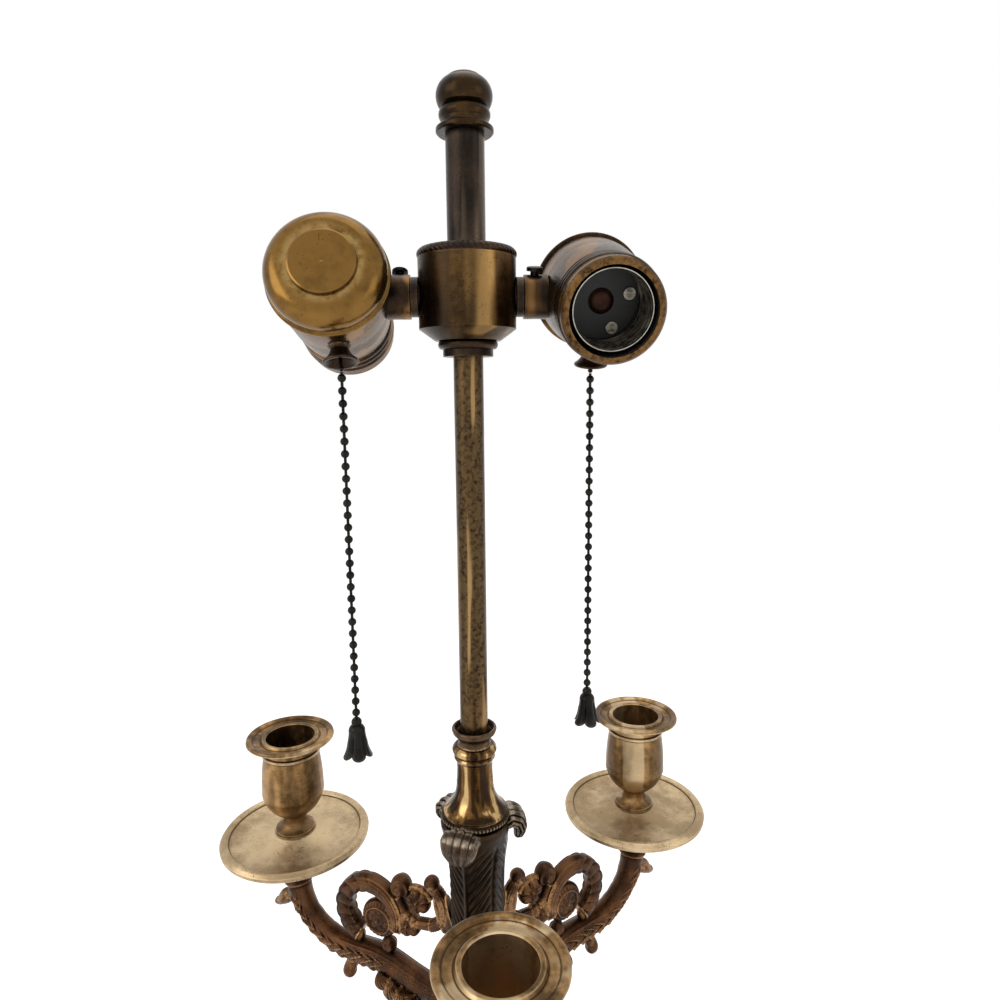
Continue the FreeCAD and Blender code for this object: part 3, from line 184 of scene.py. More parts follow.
def spaced(path: np.ndarray, step: float) -> tuple[np.ndarray, np.ndarray]:
    """A path with its points at equal distances, and the distance of each from the start."""
    far = np.concatenate([[0], np.cumsum(np.linalg.norm(np.diff(path, axis=0), axis=1))])
    along = np.linspace(0, far[-1], max(4, int(far[-1] / step)))
    return np.stack([np.interp(along, far, path[:, k]) for k in range(path.shape[1])], axis=1), along


def rope(path: np.ndarray, radius: np.ndarray | Callable, sides: int = 48, step: float = 0.4,
         relief: Relief | None = None, flat: float = 1.0) -> Skin:
    """A round section carried along a path that lies in the X-Z plane, with both ends closed.

    The section is radius * (cos(angle) * normal + flat * sin(angle) * Y), where the normal is the path's heading
    turned a quarter to its left. Relief is added to the radius.

    Args:
        path: X and Z of the path.
        radius: One radius, or a function of the share of the length.
        sides: Steps round the section.
        step: Length between rings.
        relief: Height added at each distance along the path and angle.
        flat: Width along Y as a share of the height.

    Returns:
        The surface in the plane's own frame.
    """
    points, along = spaced(np.asarray(path, float), step)
    size = radius(along / along[-1]) if callable(radius) else np.full(len(along), float(radius))
    heading = np.gradient(points, axis=0)
    heading /= np.linalg.norm(heading, axis=1)[:, None]
    normal = np.stack([-heading[:, 1], heading[:, 0]], axis=1)
    angle = np.arange(sides) * TAU / sides
    far, turn = np.meshgrid(along, angle, indexing="ij")
    reach = size[:, None] + (relief(far, turn) if relief is not None else 0.0)
    x = points[:, :1] + normal[:, :1] * reach * np.cos(turn)
    z = points[:, 1:] + normal[:, 1:] * reach * np.cos(turn)
    grid = np.stack([x, flat * reach * np.sin(turn), z], axis=-1)
    ends = [np.repeat(grid[k].mean(0)[None, None], sides, axis=1) for k in (0, -1)]
    return Skin.of_grid(np.concatenate([ends[0], grid, ends[1]]))


def bud(base: tuple[float, float], tip: tuple[float, float], radius: float, lobes: int = 0,
        depth: float = 0.0, belly: float = 0.55) -> Skin:
    """A small bud on the plane: radius * sin(pi * t^k), its widest place at the belly's share, with long grooves."""
    power = math.log(0.5) / math.log(belly)

    def size(t: np.ndarray) -> np.ndarray:
        """Radius along the bud."""
        return radius * np.sin(math.pi * np.clip(t, 0.002, 0.998) ** power) ** 0.8

    def grooves(far: np.ndarray, turn: np.ndarray) -> np.ndarray:
        """Rectified cosine round the bud."""
        return depth * (np.abs(np.cos(turn * lobes / 2)) - 0.6)
    return rope(np.array([base, tip]), size, 36, 0.35, grooves if lobes else None)


def medallion(centre: tuple[float, float], radius: float, height: Relief, edge: Relief | None = None,
              rows: int = 44, sides: int = 96) -> Skin:
    """A carved disc whose two faces look along -Y and +Y.

    Each face is a polar grid: radius * share * (cos, sin) in the plane and the height function of share and angle
    along Y, so both faces carry the same carving.

    Args:
        centre: X and Z of the middle.
        radius: Outer radius.
        height: Half the thickness at each share of the radius and angle.
        edge: Radius added at each share and angle.
        rows: Rings on one face.
        sides: Steps round the disc.

    Returns:
        The surface in the plane's own frame.
    """
    share = np.sin(np.linspace(0, math.pi / 2, rows))
    angle = np.arange(sides) * TAU / sides
    q, turn = np.meshgrid(share, angle, indexing="ij")
    reach = radius * q + (edge(q, turn) if edge is not None else 0.0)
    half = height(q, turn)
    half[0] = half[0].mean()
    reach[0] = 0
    x = centre[0] + reach * np.cos(turn)
    z = centre[1] + reach * np.sin(turn)
    front = np.stack([x, -half, z], axis=-1)
    back = np.stack([x, half, z], axis=-1)[::-1]
    return Skin.of_grid(np.concatenate([front, back]))


def leaf(spine: np.ndarray, side: np.ndarray, out: np.ndarray, width: Callable, thick: float, ribs: int = 5,
         cup: float = 0.0, rib_depth: float = 0.3, rows: int = 60, columns: int = 40) -> Skin:
    """A carved leaf: a closed sheet round a bent spine.

    Across the leaf u runs from -1 to 1. A point is spine + side * width * u - out * cup * u^2, and the face stands
    out from it by thick * sqrt(1 - u^2) plus a rectified cosine for the ribs, which run along the leaf.

    Args:
        spine: Places along the middle, from the root to the tip.
        side: Direction across the leaf.
        out: Direction out of the leaf's face at each place of the spine, or one for all.
        width: Half the width as a function of the share of the length.
        thick: Half the thickness.
        ribs: Ribs across the face.
        cup: How far the long edges fall behind the middle.
        rib_depth: Height of a rib.
        rows: Rings along the leaf.
        columns: Steps round the section.

    Returns:
        The surface in the spine's frame.
    """
    line, along = spaced(np.asarray(spine, float), 1e-3 + np.linalg.norm(np.diff(spine, axis=0), axis=1).sum() / rows)
    t = along / along[-1]
    face = np.broadcast_to(np.asarray(out, float), (len(spine), 3))
    far = np.linspace(0, 1, len(face))
    face = np.stack([np.interp(t, far, face[:, k]) for k in range(3)], axis=1)
    angle = np.arange(columns) * TAU / columns
    u = np.cos(angle)[None, :, None]
    lift = np.sin(angle)[None, :, None]
    fade = np.clip(np.sin(math.pi * np.clip(t, 0, 1)) * 3, 0, 1)[:, None, None]
    carved = rib_depth * (np.abs(np.cos(math.pi * ribs * u / 2)) - 0.5) * np.sqrt(1 - u * u) * fade
    half = width(t)[:, None, None]
    body = np.minimum(thick, half * 0.6)
    grid = (line[:, None] + np.asarray(side, float) * half * u
            + face[:, None] * (lift * body + np.sign(lift) * carved - cup * u * u * half / (half.max() + 1e-6)))
    ends = [np.repeat(grid[k].mean(0)[None, None], columns, axis=1) for k in (0, -1)]
    return Skin.of_grid(np.concatenate([ends[0], grid, ends[1]]))


def arc(centre: tuple[float, float], radius: float, begin: float, finish: float, count: int = 60) -> np.ndarray:
    """Points of an arc on the plane, from one angle to another, in degrees."""
    angle = np.radians(np.linspace(begin, finish, count))
    return np.stack([centre[0] + radius * np.cos(angle), centre[1] + radius * np.sin(angle)], axis=1)


# Shader maths


class Val:
    """A number socket in a material. Arithmetic on it adds Math nodes."""

    def __init__(self, paint: "Paint", socket: bpy.types.NodeSocket) -> None:
        """Holds the material's graph and the socket."""
        self.paint = paint
        self.socket = socket

    def _with(self, operation: str, first: object, second: object) -> "Val":
        """A Math node on two numbers or sockets."""
        node = self.paint.node("ShaderNodeMath", {"operation": operation}, {0: first, 1: second})
        return Val(self.paint, node.outputs[0])

    def __add__(self, other: object) -> "Val":
        """Sum."""
        return self._with("ADD", self, other)

    __radd__ = __add__

    def __mul__(self, other: object) -> "Val":
        """Product."""
        return self._with("MULTIPLY", self, other)

    __rmul__ = __mul__

    def __sub__(self, other: object) -> "Val":
        """Difference."""
        return self._with("SUBTRACT", self, other)

    def __rsub__(self, other: object) -> "Val":
        """Difference from a number."""
        return self._with("SUBTRACT", other, self)

    def __pow__(self, other: object) -> "Val":
        """Power."""
        return self._with("POWER", self, other)

    def band(self, low: float, high: float) -> "Val":
        """0 below the first value and 1 above the second, smooth between, or the other way round."""
        node = self.paint.node("ShaderNodeMapRange", {"interpolation_type": "SMOOTHSTEP"},
                               {0: self, 1: low, 2: high, 3: 0.0, 4: 1.0})
        return Val(self.paint, node.outputs[0])


def linear(colour: Colour) -> tuple[float, float, float, float]:
    """A colour written as 0 to 255 on a screen, as the light it stands for: ((c + 0.055) / 1.055)^2.4."""
    shares = [c / 255 for c in colour]
    light = [c / 12.92 if c <= 0.04045 else ((c + 0.055) / 1.055) ** 2.4 for c in shares]
    return (*light, 1.0)


class Paint:
    """A material under construction."""

    def __init__(self, name: str) -> None:
        """Starts an empty node tree with its output.

        Args:
            name: The finish's name.
        """
        self.material = bpy.data.materials.new(name)
        self.material.use_nodes = True
        self.tree = self.material.node_tree
        self.tree.nodes.clear()
        self.out = self.node("ShaderNodeOutputMaterial")
        self.place = self.node("ShaderNodeTexCoord").outputs["Object"]

    def node(self, kind: str, settings: dict | None = None, sockets: dict | None = None) -> bpy.types.Node:
        """Adds a node.

        Args:
            kind: The node's type.
            settings: Its own settings.
            sockets: Values or links, by the input's name or number.

        Returns:
            The node.
        """
        made = self.tree.nodes.new(kind)
        for key, value in (settings or {}).items():
            setattr(made, key, value)
        for key, value in (sockets or {}).items():
            if isinstance(value, Val):
                value = value.socket
            if isinstance(value, bpy.types.NodeSocket):
                self.tree.links.new(value, made.inputs[key])
            else:
                made.inputs[key].default_value = value
        return made

    def noise(self, scale: float, detail: float = 3.0, rough: float = 0.55, stretch: Colour | None = None) -> Val:
        """Noise over the object, with about `scale` waves in a metre, from 0 to 1.

        Args:
            scale: Waves in a metre.
            detail: Octaves.
            rough: Share of each next octave.
            stretch: Scale of each axis, for streaks.

        Returns:
            The noise.
        """
        where = self.place
        if stretch is not None:
            where = self.node("ShaderNodeMapping", {"vector_type": "POINT"}, {0: where, 3: stretch}).outputs[0]
        made = self.node("ShaderNodeTexNoise", None, {"Vector": where, "Scale": scale, "Detail": detail,
                                                      "Roughness": rough})
        return Val(self, made.outputs[0])

    def specks(self, scale: float, size: float) -> Val:
        """Scattered round specks: 1 within `size` of the cells of a Voronoi pattern, 0 elsewhere."""
        made = self.node("ShaderNodeTexVoronoi", {"feature": "F1"}, {"Vector": self.place, "Scale": scale})
        return Val(self, made.outputs["Distance"]).band(size, size * 0.5)

    def hollow(self, reach: float, inside: bool = False) -> Val:
        """Openness within `reach` millimetres: 1 in the open, less in a hollow, or on an edge if measured inside."""
        made = self.node("ShaderNodeAmbientOcclusion", {"samples": 6, "inside": inside}, {"Distance": reach * MM})
        return Val(self, made.outputs["AO"])

    def attribute(self, name: str) -> Val:
        """A number that each point of the mesh carries, or 0 where it carries none."""
        return Val(self, self.node("ShaderNodeAttribute", {"attribute_name": name}).outputs["Fac"])

    def mix(self, factor: object, under: object, over: object) -> bpy.types.NodeSocket:
        """A colour between two, by a factor from 0 to 1."""
        under, over = [linear(c) if isinstance(c, tuple) and len(c) == 3 else c for c in (under, over)]
        made = self.node("ShaderNodeMix", {"data_type": "RGBA", "clamp_factor": True}, {0: factor, 6: under, 7: over})
        return made.outputs[2]

    def bump(self, height: Val, depth: float, under: bpy.types.NodeSocket | None = None) -> bpy.types.NodeSocket:
        """A normal that stands for a relief of `depth` millimetres, over another one if given."""
        sockets = {"Height": height, "Strength": 1.0, "Distance": depth * MM}
        if under is not None:
            sockets["Normal"] = under
        return self.node("ShaderNodeBump", None, sockets).outputs[0]

    def finish(self, colour: object, metallic: object, roughness: object, normal: object = None,
               **sockets: object) -> bpy.types.Material:
        """Adds the surface shader and ends the material.

        Args:
            colour: Base colour.
            metallic: How metallic it is.
            roughness: How rough it is.
            normal: A bumped normal.
            **sockets: More of the shader's inputs, with _ for a space.

        Returns:
            The material.
        """
        values = {"Base Color": linear(colour) if isinstance(colour, tuple) else colour, "Metallic": metallic,
                  "Roughness": roughness}
        if normal is not None:
            values["Normal"] = normal
        values.update({key.replace("_", " "): value for key, value in sockets.items()})
        shader = self.node("ShaderNodeBsdfPrincipled", None, values)
        self.tree.links.new(shader.outputs[0], self.out.inputs[0])
        return self.material


@dataclass(frozen=True)
class Metal:
    """An aged metal finish.

    Attributes:
        name: The finish's name.
        dark: Tone of the darker clouds.
        light: Tone of the lighter clouds.
        grime_and_shade: Tone of the dirt in specks and tool marks and of the dark patina in carved grooves, and also
            of the painted shade in hollows and where parts meet and of the dark painted reflection bands.
        worn_and_highlight: Tone of the rubbed edges and ridges, and also of the light painted reflection streaks that
            stand in for highlights.
        metallic: How metallic it is.
        rough: Least and greatest roughness.
        cloud: Clouds in a metre.
        speck: Share of dark specks.
        grain: Depth of the fine bump, in millimetres.
        brushed: Stretch of the tool marks on each axis, or None.
        hollow: How strongly the hollows darken: painted shade in the open hollows and where parts meet, and dark
            patina in the carved grooves.
        edge: How strongly the edges are rubbed.
        reach: Width of a hollow that darkens, in millimetres.
        carved: Height of a ridge that is rubbed bare and depth of a groove that is full of dark patina, in
            millimetres.
        reflection_bands: Strength of the long painted reflection bands, dark and light, that stand in for the room
            seen in the metal.
        reflection_band_scale: Painted reflection bands in a metre.
    """

    name: str
    dark: Colour
    light: Colour
    grime_and_shade: Colour
    worn_and_highlight: Colour
    metallic: float = 0.9
    rough: tuple[float, float] = (0.28, 0.48)
    cloud: float = 55.0
    speck: float = 0.12
    grain: float = 0.02
    brushed: Colour | None = None
    hollow: float = 1.0
    edge: float = 0.6
    reach: float = 2.5
    carved: float = 0.16
    reflection_bands: float = 0.0
    reflection_band_scale: float = 70.0

    def build(self) -> bpy.types.Material:
        """The material: clouds of two tones, painted reflection bands, painted shade with dirt in the hollows, dark
        patina in the grooves, specks of dirt, rubbed edges and a fine bump.
        """
        paint = Paint(self.name)
        broad = paint.noise(self.cloud, 5.0, 0.6)
        fine = paint.noise(self.cloud * 9, 4.0, 0.65)
        colour = paint.mix((broad * 0.75 + fine * 0.25).band(0.38, 0.62), self.dark, self.light)
        if self.brushed is not None:
            marks = paint.noise(self.cloud * 6, 3.0, 0.7, self.brushed)
            colour = paint.mix(marks.band(0.45, 0.75) * 0.35, colour, self.grime_and_shade)
        # Painted reflections: long dark and light streaks, stretched up the part, stand in for the room mirrored in
        # the metal.
        if self.reflection_bands > 0:
            reflection_streaks = paint.noise(self.reflection_band_scale, 2.0, 0.5, (1, 1, 0.06))
            colour = paint.mix(reflection_streaks.band(0.49, 0.57) * self.reflection_bands, colour, self.grime_and_shade)
            colour = paint.mix(reflection_streaks.band(0.46, 0.39) * self.reflection_bands * 0.8, colour, self.worn_and_highlight)
        # Painted shade: ambient occlusion darkens the colour in hollows and where parts meet, as shade falls there,
        # together with real dirt.
        hollow_shade_openness = paint.hollow(self.reach)
        colour = paint.mix((1 - hollow_shade_openness.band(0.25, 0.85)) * self.hollow, colour, self.grime_and_shade)
        if self.edge > 0:
            rim = 1 - paint.hollow(self.reach * 0.5, inside=True)
            colour = paint.mix(rim.band(0.35, 0.75) * fine.band(0.3, 0.6) * self.edge, colour, self.worn_and_highlight)
        height = paint.attribute(CARVING)
        colour = paint.mix(height.band(-0.15 * self.carved, -self.carved) * self.hollow, colour, self.grime_and_shade)
        bare = height.band(0.35 * self.carved, 1.5 * self.carved) * (0.45 + 0.55 * fine.band(0.3, 0.6))
        colour = paint.mix(bare * self.edge, colour, self.worn_and_highlight)
        spots = paint.specks(900, 0.28) * paint.noise(140, 2.0).band(0.6 - self.speck, 0.75 - self.speck)
        colour = paint.mix(spots * 0.8, colour, self.grime_and_shade)
        low, high = self.rough
        rough = low + (high - low) * (fine * 0.6 + broad * 0.4).band(0.3, 0.7) + spots * 0.15
        relief = paint.bump(paint.noise(2200, 3.0, 0.6), self.grain)
        relief = paint.bump(fine, self.grain * 2.5, relief)
        return paint.finish(colour, self.metallic, rough, relief)


class Finish(Enum):
    """The finishes of the lamp."""

    ARM = Metal("coppery_cast_brass", (54, 33, 18), (94, 61, 36), (20, 11, 7), (188, 142, 94),
                metallic=0.85, rough=(0.28, 0.48), cloud=90, grain=0.05, hollow=1.0, edge=0.6, reach=4.0, carved=0.22)
    CUP = Metal("satin_brass", (98, 70, 36), (180, 142, 94), (44, 30, 15), (226, 204, 166),
                rough=(0.3, 0.46), cloud=40, speck=0.06, brushed=(1, 1, 14), grain=0.012, edge=0.7, reflection_bands=0.55,
                reflection_band_scale=80)
    PAN = Metal("dull_brass", (160, 136, 102), (214, 190, 152), (84, 66, 46), (228, 208, 176),
                rough=(0.36, 0.54), cloud=36, speck=0.15, grain=0.02, edge=0.6)
    STEM = Metal("aged_tube_brass", (38, 25, 14), (64, 46, 27), (20, 13, 8), (176, 142, 94),
                 rough=(0.26, 0.42), cloud=60, speck=0.04, brushed=(10, 10, 0.7), grain=0.012, edge=0.2, reflection_bands=0.9,
                 reflection_band_scale=190)
    BELL = Metal("bright_brass", (72, 49, 22), (112, 80, 40), (36, 22, 10), (214, 180, 126),
                 rough=(0.2, 0.34), cloud=60, speck=0.04, grain=0.008, edge=0.4, reflection_bands=0.9, reflection_band_scale=190)
    DOME = Metal("golden_olive_brass", (84, 60, 27), (126, 93, 44), (46, 31, 16), (214, 184, 124),
                 rough=(0.16, 0.3), cloud=30, speck=0.03, grain=0.008, hollow=0.6, edge=0.35)
    SHELL = Metal("brown_shell_brass", (36, 26, 17), (70, 50, 30), (18, 13, 9), (156, 114, 64),
                  rough=(0.24, 0.4), cloud=60, speck=0.03, grain=0.015, edge=0.5, reflection_bands=0.6, reflection_band_scale=60)
    CLUSTER = Metal("cluster_brass", (52, 37, 20), (92, 67, 36), (24, 17, 10), (180, 142, 86),
                    rough=(0.26, 0.4), cloud=55, grain=0.012, brushed=(1, 1, 10), edge=0.4, reflection_bands=0.7,
                    reflection_band_scale=55)
    PATINA = Metal("dark_patina", (26, 18, 11), (48, 36, 24), (9, 7, 5), (134, 118, 98),
                   metallic=1.0, rough=(0.28, 0.46), cloud=80, grain=0.03, hollow=1.0, edge=0.95, reach=3.0)
    RISER = Metal("dark_riser_tube", (32, 24, 19), (56, 44, 34), (15, 12, 9), (104, 90, 74),
                  metallic=0.85, rough=(0.24, 0.4), cloud=70, brushed=(10, 10, 0.7), edge=0.2, reflection_bands=0.6,
                  reflection_band_scale=120)
    NECK = Metal("dark_neck_brass", (34, 25, 19), (64, 47, 31), (14, 11, 9), (122, 94, 62),
                 metallic=0.85, rough=(0.28, 0.45), cloud=90, edge=0.6)
    COLLAR = Metal("brown_collar_brass", (66, 50, 36), (104, 82, 58), (32, 23, 17), (176, 152, 116),
                   rough=(0.26, 0.42), cloud=120, edge=0.7, reach=2.0)
    LEAF_TIP = Metal("rubbed_patina", (44, 34, 26), (80, 66, 52), (13, 9, 7), (172, 156, 138),
                     metallic=0.9, rough=(0.28, 0.46), cloud=120, grain=0.03, edge=0.9, reach=3.0, carved=0.14)
    CHAIN = Metal("blackened_chain", (20, 19, 18), (38, 36, 32), (10, 9, 8), (96, 92, 82),
                  metallic=0.85, rough=(0.28, 0.42), cloud=120, hollow=0.7, edge=0.5, reach=1.2)
    THREAD = Metal("grey_thread_metal", (44, 41, 38), (84, 80, 74), (14, 13, 12), (190, 184, 170),
                   rough=(0.24, 0.4), cloud=30, speck=0.0, edge=0.9, reach=3.0, carved=0.08)
    COPPER = Metal("dull_copper", (30, 18, 13), (58, 35, 25), (16, 11, 9), (104, 70, 50),
                   rough=(0.3, 0.45), cloud=160)
    STEEL = Metal("grey_steel", (84, 84, 82), (126, 126, 124), (40, 38, 36), (176, 176, 172),
                  rough=(0.28, 0.42), cloud=90)
    IRON = Metal("cast_iron", (44, 42, 40), (70, 66, 62), (26, 22, 20), (104, 98, 92),
                 metallic=0.6, rough=(0.5, 0.7), cloud=90, grain=0.08)
    BASE = Metal("base_brass", (84, 60, 30), (132, 100, 52), (46, 32, 18), (186, 150, 94),
                 rough=(0.28, 0.44), cloud=26, grain=0.012, brushed=(1, 1, 8), edge=0.4)


class Plain(Enum):
    """The finishes that aren't metal: dark tone, light tone, roughness and depth of grain."""

    SWITCH = ((5, 5, 5), (13, 12, 11), 0.42, 0.03)
    FIBRE = ((20, 16, 13), (38, 30, 23), 0.7, 0.06)
    FELT = ((34, 52, 40), (50, 70, 54), 0.95, 0.3)
    RUBBER = ((26, 25, 24), (38, 37, 35), 0.6, 0.04)

    def build(self) -> bpy.types.Material:
        """The material: two tones in clouds and a grain."""
        dark, light, rough, grain = self.value
        paint = Paint(self.name.lower())
        clouds = paint.noise(180, 5.0, 0.6)
        colour = paint.mix(clouds.band(0.35, 0.65), dark, light)
        return paint.finish(colour, 0.0, rough + 0.15 * clouds, paint.bump(paint.noise(1600, 3.0), grain))


class Wardrobe:
    """Builds each finish once and gives it out."""

    def __init__(self) -> None:
        """Starts with no material."""
        self.made: dict[Enum, bpy.types.Material] = {}

    def get(self, finish: Enum) -> bpy.types.Material:
        """The material of a finish."""
        if finish not in self.made:
            self.made[finish] = finish.value.build() if isinstance(finish.value, Metal) else finish.build()
        return self.made[finish]


WARDROBE = Wardrobe()


def dress(node: str, finish: Enum) -> None:
    """Gives a CAD node its finish."""
    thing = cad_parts[node]
    thing.data.materials.clear()
    thing.data.materials.append(WARDROBE.get(finish))
    LOG.info("dressed %s in %s", node, finish.name)


def carved_height(mesh: bpy.types.Mesh, passes: int = 14) -> np.ndarray:
    """How far each point stands out of the surface round it, in millimetres.

    The surface is smoothed by moving each point half way to the mean of its neighbours, pass after pass. The height
    is the way from the smoothed place to the true one along the normal, less the mean height round the point:
    above 0 on a ridge, below 0 in a groove.

    Args:
        mesh: A mesh whose doubles are merged.
        passes: Smoothing passes.

    Returns:
        One height for each point.
    """
    count = len(mesh.vertices)
    place = np.empty(count * 3)
    mesh.vertices.foreach_get("co", place)
    place = place.reshape(-1, 3)
    normal = np.empty(count * 3)
    mesh.vertex_normals.foreach_get("vector", normal)
    ends = np.empty(len(mesh.edges) * 2, int)
    mesh.edges.foreach_get("vertices", ends)
    ends = ends.reshape(-1, 2)
    here, there = np.concatenate([ends, ends[:, ::-1]]).T
    share = np.bincount(here, minlength=count)[:, None]

    def smoothed(values: np.ndarray) -> np.ndarray:
        """Each point's values moved half way to the mean of its neighbours, in every pass."""
        for _ in range(passes):
            total = np.stack([np.bincount(here, column[there], count) for column in values.T], axis=1)
            values = (values + total / share) / 2
        return values
    height = ((place - smoothed(place)) * normal.reshape(-1, 3)).sum(axis=1, keepdims=True) / MM
    return (height - 0.8 * smoothed(height))[:, 0]


def piece(name: str, skin: Skin, finish: Enum, body: str, stands_for: tuple[str, ...] = (),
          crease: float = 40.0) -> bpy.types.Object:
    """Makes a surface a piece of the lamp.

    Doubled points at seams and poles are merged, faces are turned outwards and edges sharper than the crease stay
    sharp.

    Args:
        name: The piece's name.
        skin: Its surface.
        finish: Its finish.
        body: The CAD body that it moves with.
        stands_for: CAD nodes that it replaces.
        crease: Angle in degrees.

    Returns:
        The object.
    """
    mesh = bpy.data.meshes.new(name)
    mesh.from_pydata((skin.points * MM).tolist(), [], skin.faces.tolist())
    work = bmesh.new()
    work.from_mesh(mesh)
    bmesh.ops.remove_doubles(work, verts=work.verts, dist=2e-6)
    bmesh.ops.recalc_face_normals(work, faces=work.faces)
    work.to_mesh(mesh)
    work.free()
    mesh.polygons.foreach_set("use_smooth", np.ones(len(mesh.polygons), bool))
    mesh.set_sharp_from_angle(angle=math.radians(crease))
    carving = mesh.attributes.new(CARVING, "FLOAT", "POINT")
    carving.data.foreach_set("value", carved_height(mesh).astype(np.float32))
    mesh.materials.append(WARDROBE.get(finish))
    thing = bpy.data.objects.new(name, mesh)
    bpy.context.scene.collection.objects.link(thing)
    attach(thing, body)
    if stands_for:
        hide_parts(*stands_for)
    LOG.info("made %s: %d faces", name, len(mesh.polygons))
    return thing


# Sub-assemblies


@dataclass
class Base:
    """Felt, dish base, weight, column and the pipe through them."""

    finishes: tuple[tuple[str, Enum], ...] = (
        ("felt_pad", Plain.FELT), ("dish_base", Finish.BASE), ("cord_bushing", Plain.RUBBER),
        ("base_weight", Finish.IRON), ("base_washer", Finish.STEEL), ("centre_pipe", Finish.STEEL),
        ("pipe_nuts", Finish.STEEL), ("column_foot", Finish.BASE), ("column_shaft", Finish.BASE),
        ("arm_hub", Finish.ARM), ("arm_screws", Finish.STEEL), ("cup_studs", Finish.STEEL),
    )

    def build(self) -> None:
        """Dresses the CAD nodes."""
        for node, finish in self.finishes:
            dress(node, finish)


@dataclass
class ScrollArms:
    """The three scroll arms, each one carving, with their drip pans and candle cups."""

    azimuths: tuple[tuple[str, float], ...] = (("front", -83.4), ("right", 36.6), ("left", 156.6))
    axis_height: float = 262.0
    reach: float = 95.6
    rise: float = 55.0
    bend: float = 28.0
    level: float = 8.0
    root: float = 17.1
    run: float = 36.0
    neck: float = 7.8
    waist: float = 6.3
    end: float = 5.2
    whorl: tuple[float, float] = (54.0, 30.0)
    whorl_radius: float = 14.0
    whorl_band: float = 4.1
    hook: tuple[float, float] = (26.0, 42.0)
    hook_radius: float = 10.3
    hook_band: float = 2.7

    def branch(self) -> Skin:
        """The main branch: down the neck, round the bend, in along the level run and down the dip to the hub.

        Its radius follows the solid's and carries rings on the neck, a smooth panel, scalloped husks on the outer
        side, and grained panels between smooth borders on the level run.
        """
        corner = (self.reach - self.bend, self.level + self.bend)
        x = np.linspace(self.root + self.run, self.root, 40)
        dip = np.stack([x, self.level * (0.5 - 0.5 * np.cos(math.pi * (x - self.root) / self.run))], axis=1)
        path = np.concatenate([[(self.reach, self.rise), (self.reach, corner[1] + 0.01)],
                               arc(corner, self.bend, 0, -90), dip])
        bend_start = self.rise - corner[1]
        bend_end = bend_start + self.bend * math.pi / 2
        run_end = bend_end + corner[0] - self.root - self.run
        total = run_end + self.run * 1.02

        def radius(t: np.ndarray) -> np.ndarray:
            """Radius along the branch, between the stations' radii."""
            return np.interp(t * total, [0, bend_start, bend_start + 19, bend_end, run_end, total - 18, total],
                             [self.neck, self.waist - 0.2, self.waist - 1.5, self.waist - 1.3, self.waist - 0.8, self.end,
                              self.end + 0.2])

        def carving(far: np.ndarray, turn: np.ndarray) -> np.ndarray:
            """Sum of the rings, borders, husks and grain, each within its stretch and side."""
            rings = sum(0.8 * ridge(far, at, 0.9) - 0.5 * ridge(far, at + 1.9, 0.7) for at in (13.4, 17.2, 21.0))
            off = np.abs((turn + math.pi) % TAU - math.pi)
            side = np.abs(off - math.pi / 2)
            outer = smooth_step(off, 2.2, 1.7) * smooth_step(far, 25, 29) * smooth_step(far, 88, 80)
            tier = (far / 5.6 + 0.85 * np.abs(np.cos(turn * 2.5 + 0.4)) + 0.3 * np.sin(turn * 3)) % 1.0
            vein = 0.25 * np.abs(np.sin(turn * 9 + far * 0.9))
            husks = (1.25 * tier ** 1.4 * (1 - smooth_step(tier, 0.88, 1.0)) + vein - 0.45) * outer
            panel = smooth_step(far, 62, 66) * smooth_step(side, 0.72, 0.6)
            grain = panel * (0.4 * pebbles(far + 0.5 * np.sin(off * 17), off * 6.0 + 0.4 * np.sin(far * 2.3), 1.2) - 0.3)
            border = smooth_step(far, 58, 62) * 0.32 * ridge(side, 0.78, 0.1)
            low_line = smooth_step(far, 50, 56) * 0.6 * ridge(off, 1.0 - 0.004 * far, 0.13)
            return rings + husks + grain + border + low_line

        return rope(path, radius, 120, 0.42, carving)

    def whorls(self) -> list[Skin]:
        """The large C-scroll with its ball and rosette, the small hook with its rosette, and the flower between."""
        cx, cz = self.whorl

        def band(far: np.ndarray, turn: np.ndarray) -> np.ndarray:
            """Grained flat sides between raised borders, with overlapping leaf tips on the first half."""
            side = np.abs(np.sin(turn))
            flat = smooth_step(side, 0.62, 0.78)
            scale = np.abs(np.sin(math.pi * (far / 5.4 + 0.35 * np.cos(turn * 2))))
            leafy = smooth_step(far, 44, 30)
            tips = 0.75 * (scale ** 0.6 - 0.62) * leafy * smooth_step(side, 0.2, 0.5)
            grain = (0.36 * pebbles(far, turn * 3.0, 1.15) - 0.5) * flat * (1 - 0.6 * leafy)
            return tips + grain + 0.3 * ridge(side, 0.58, 0.09)

        def taper(t: np.ndarray) -> np.ndarray:
            """Full at the foot, a little thinner at the eye."""
            return self.whorl_band * (1.08 - 0.2 * t)

        def eye(q: np.ndarray, turn: np.ndarray) -> np.ndarray:
            """Boss, ring of petals, raised ring and fluted rim."""
            petals = 0.9 * np.abs(np.cos(3.5 * turn)) * ridge(q, 0.44, 0.13)
            flutes = 0.55 * np.abs(np.cos(13 * turn)) * smooth_step(q, 0.72, 0.8) * smooth_step(q, 1.0, 0.93)
            boss = 2.0 * ridge(q, 0, 0.15)
            rings = 1.15 * ridge(q, 0.68, 0.06) + 0.5 * ridge(q, 0.22, 0.05)
            return (2.3 + boss + petals + flutes + rings) * np.sqrt(np.clip(1.02 - q ** 8, 0.02, 1))

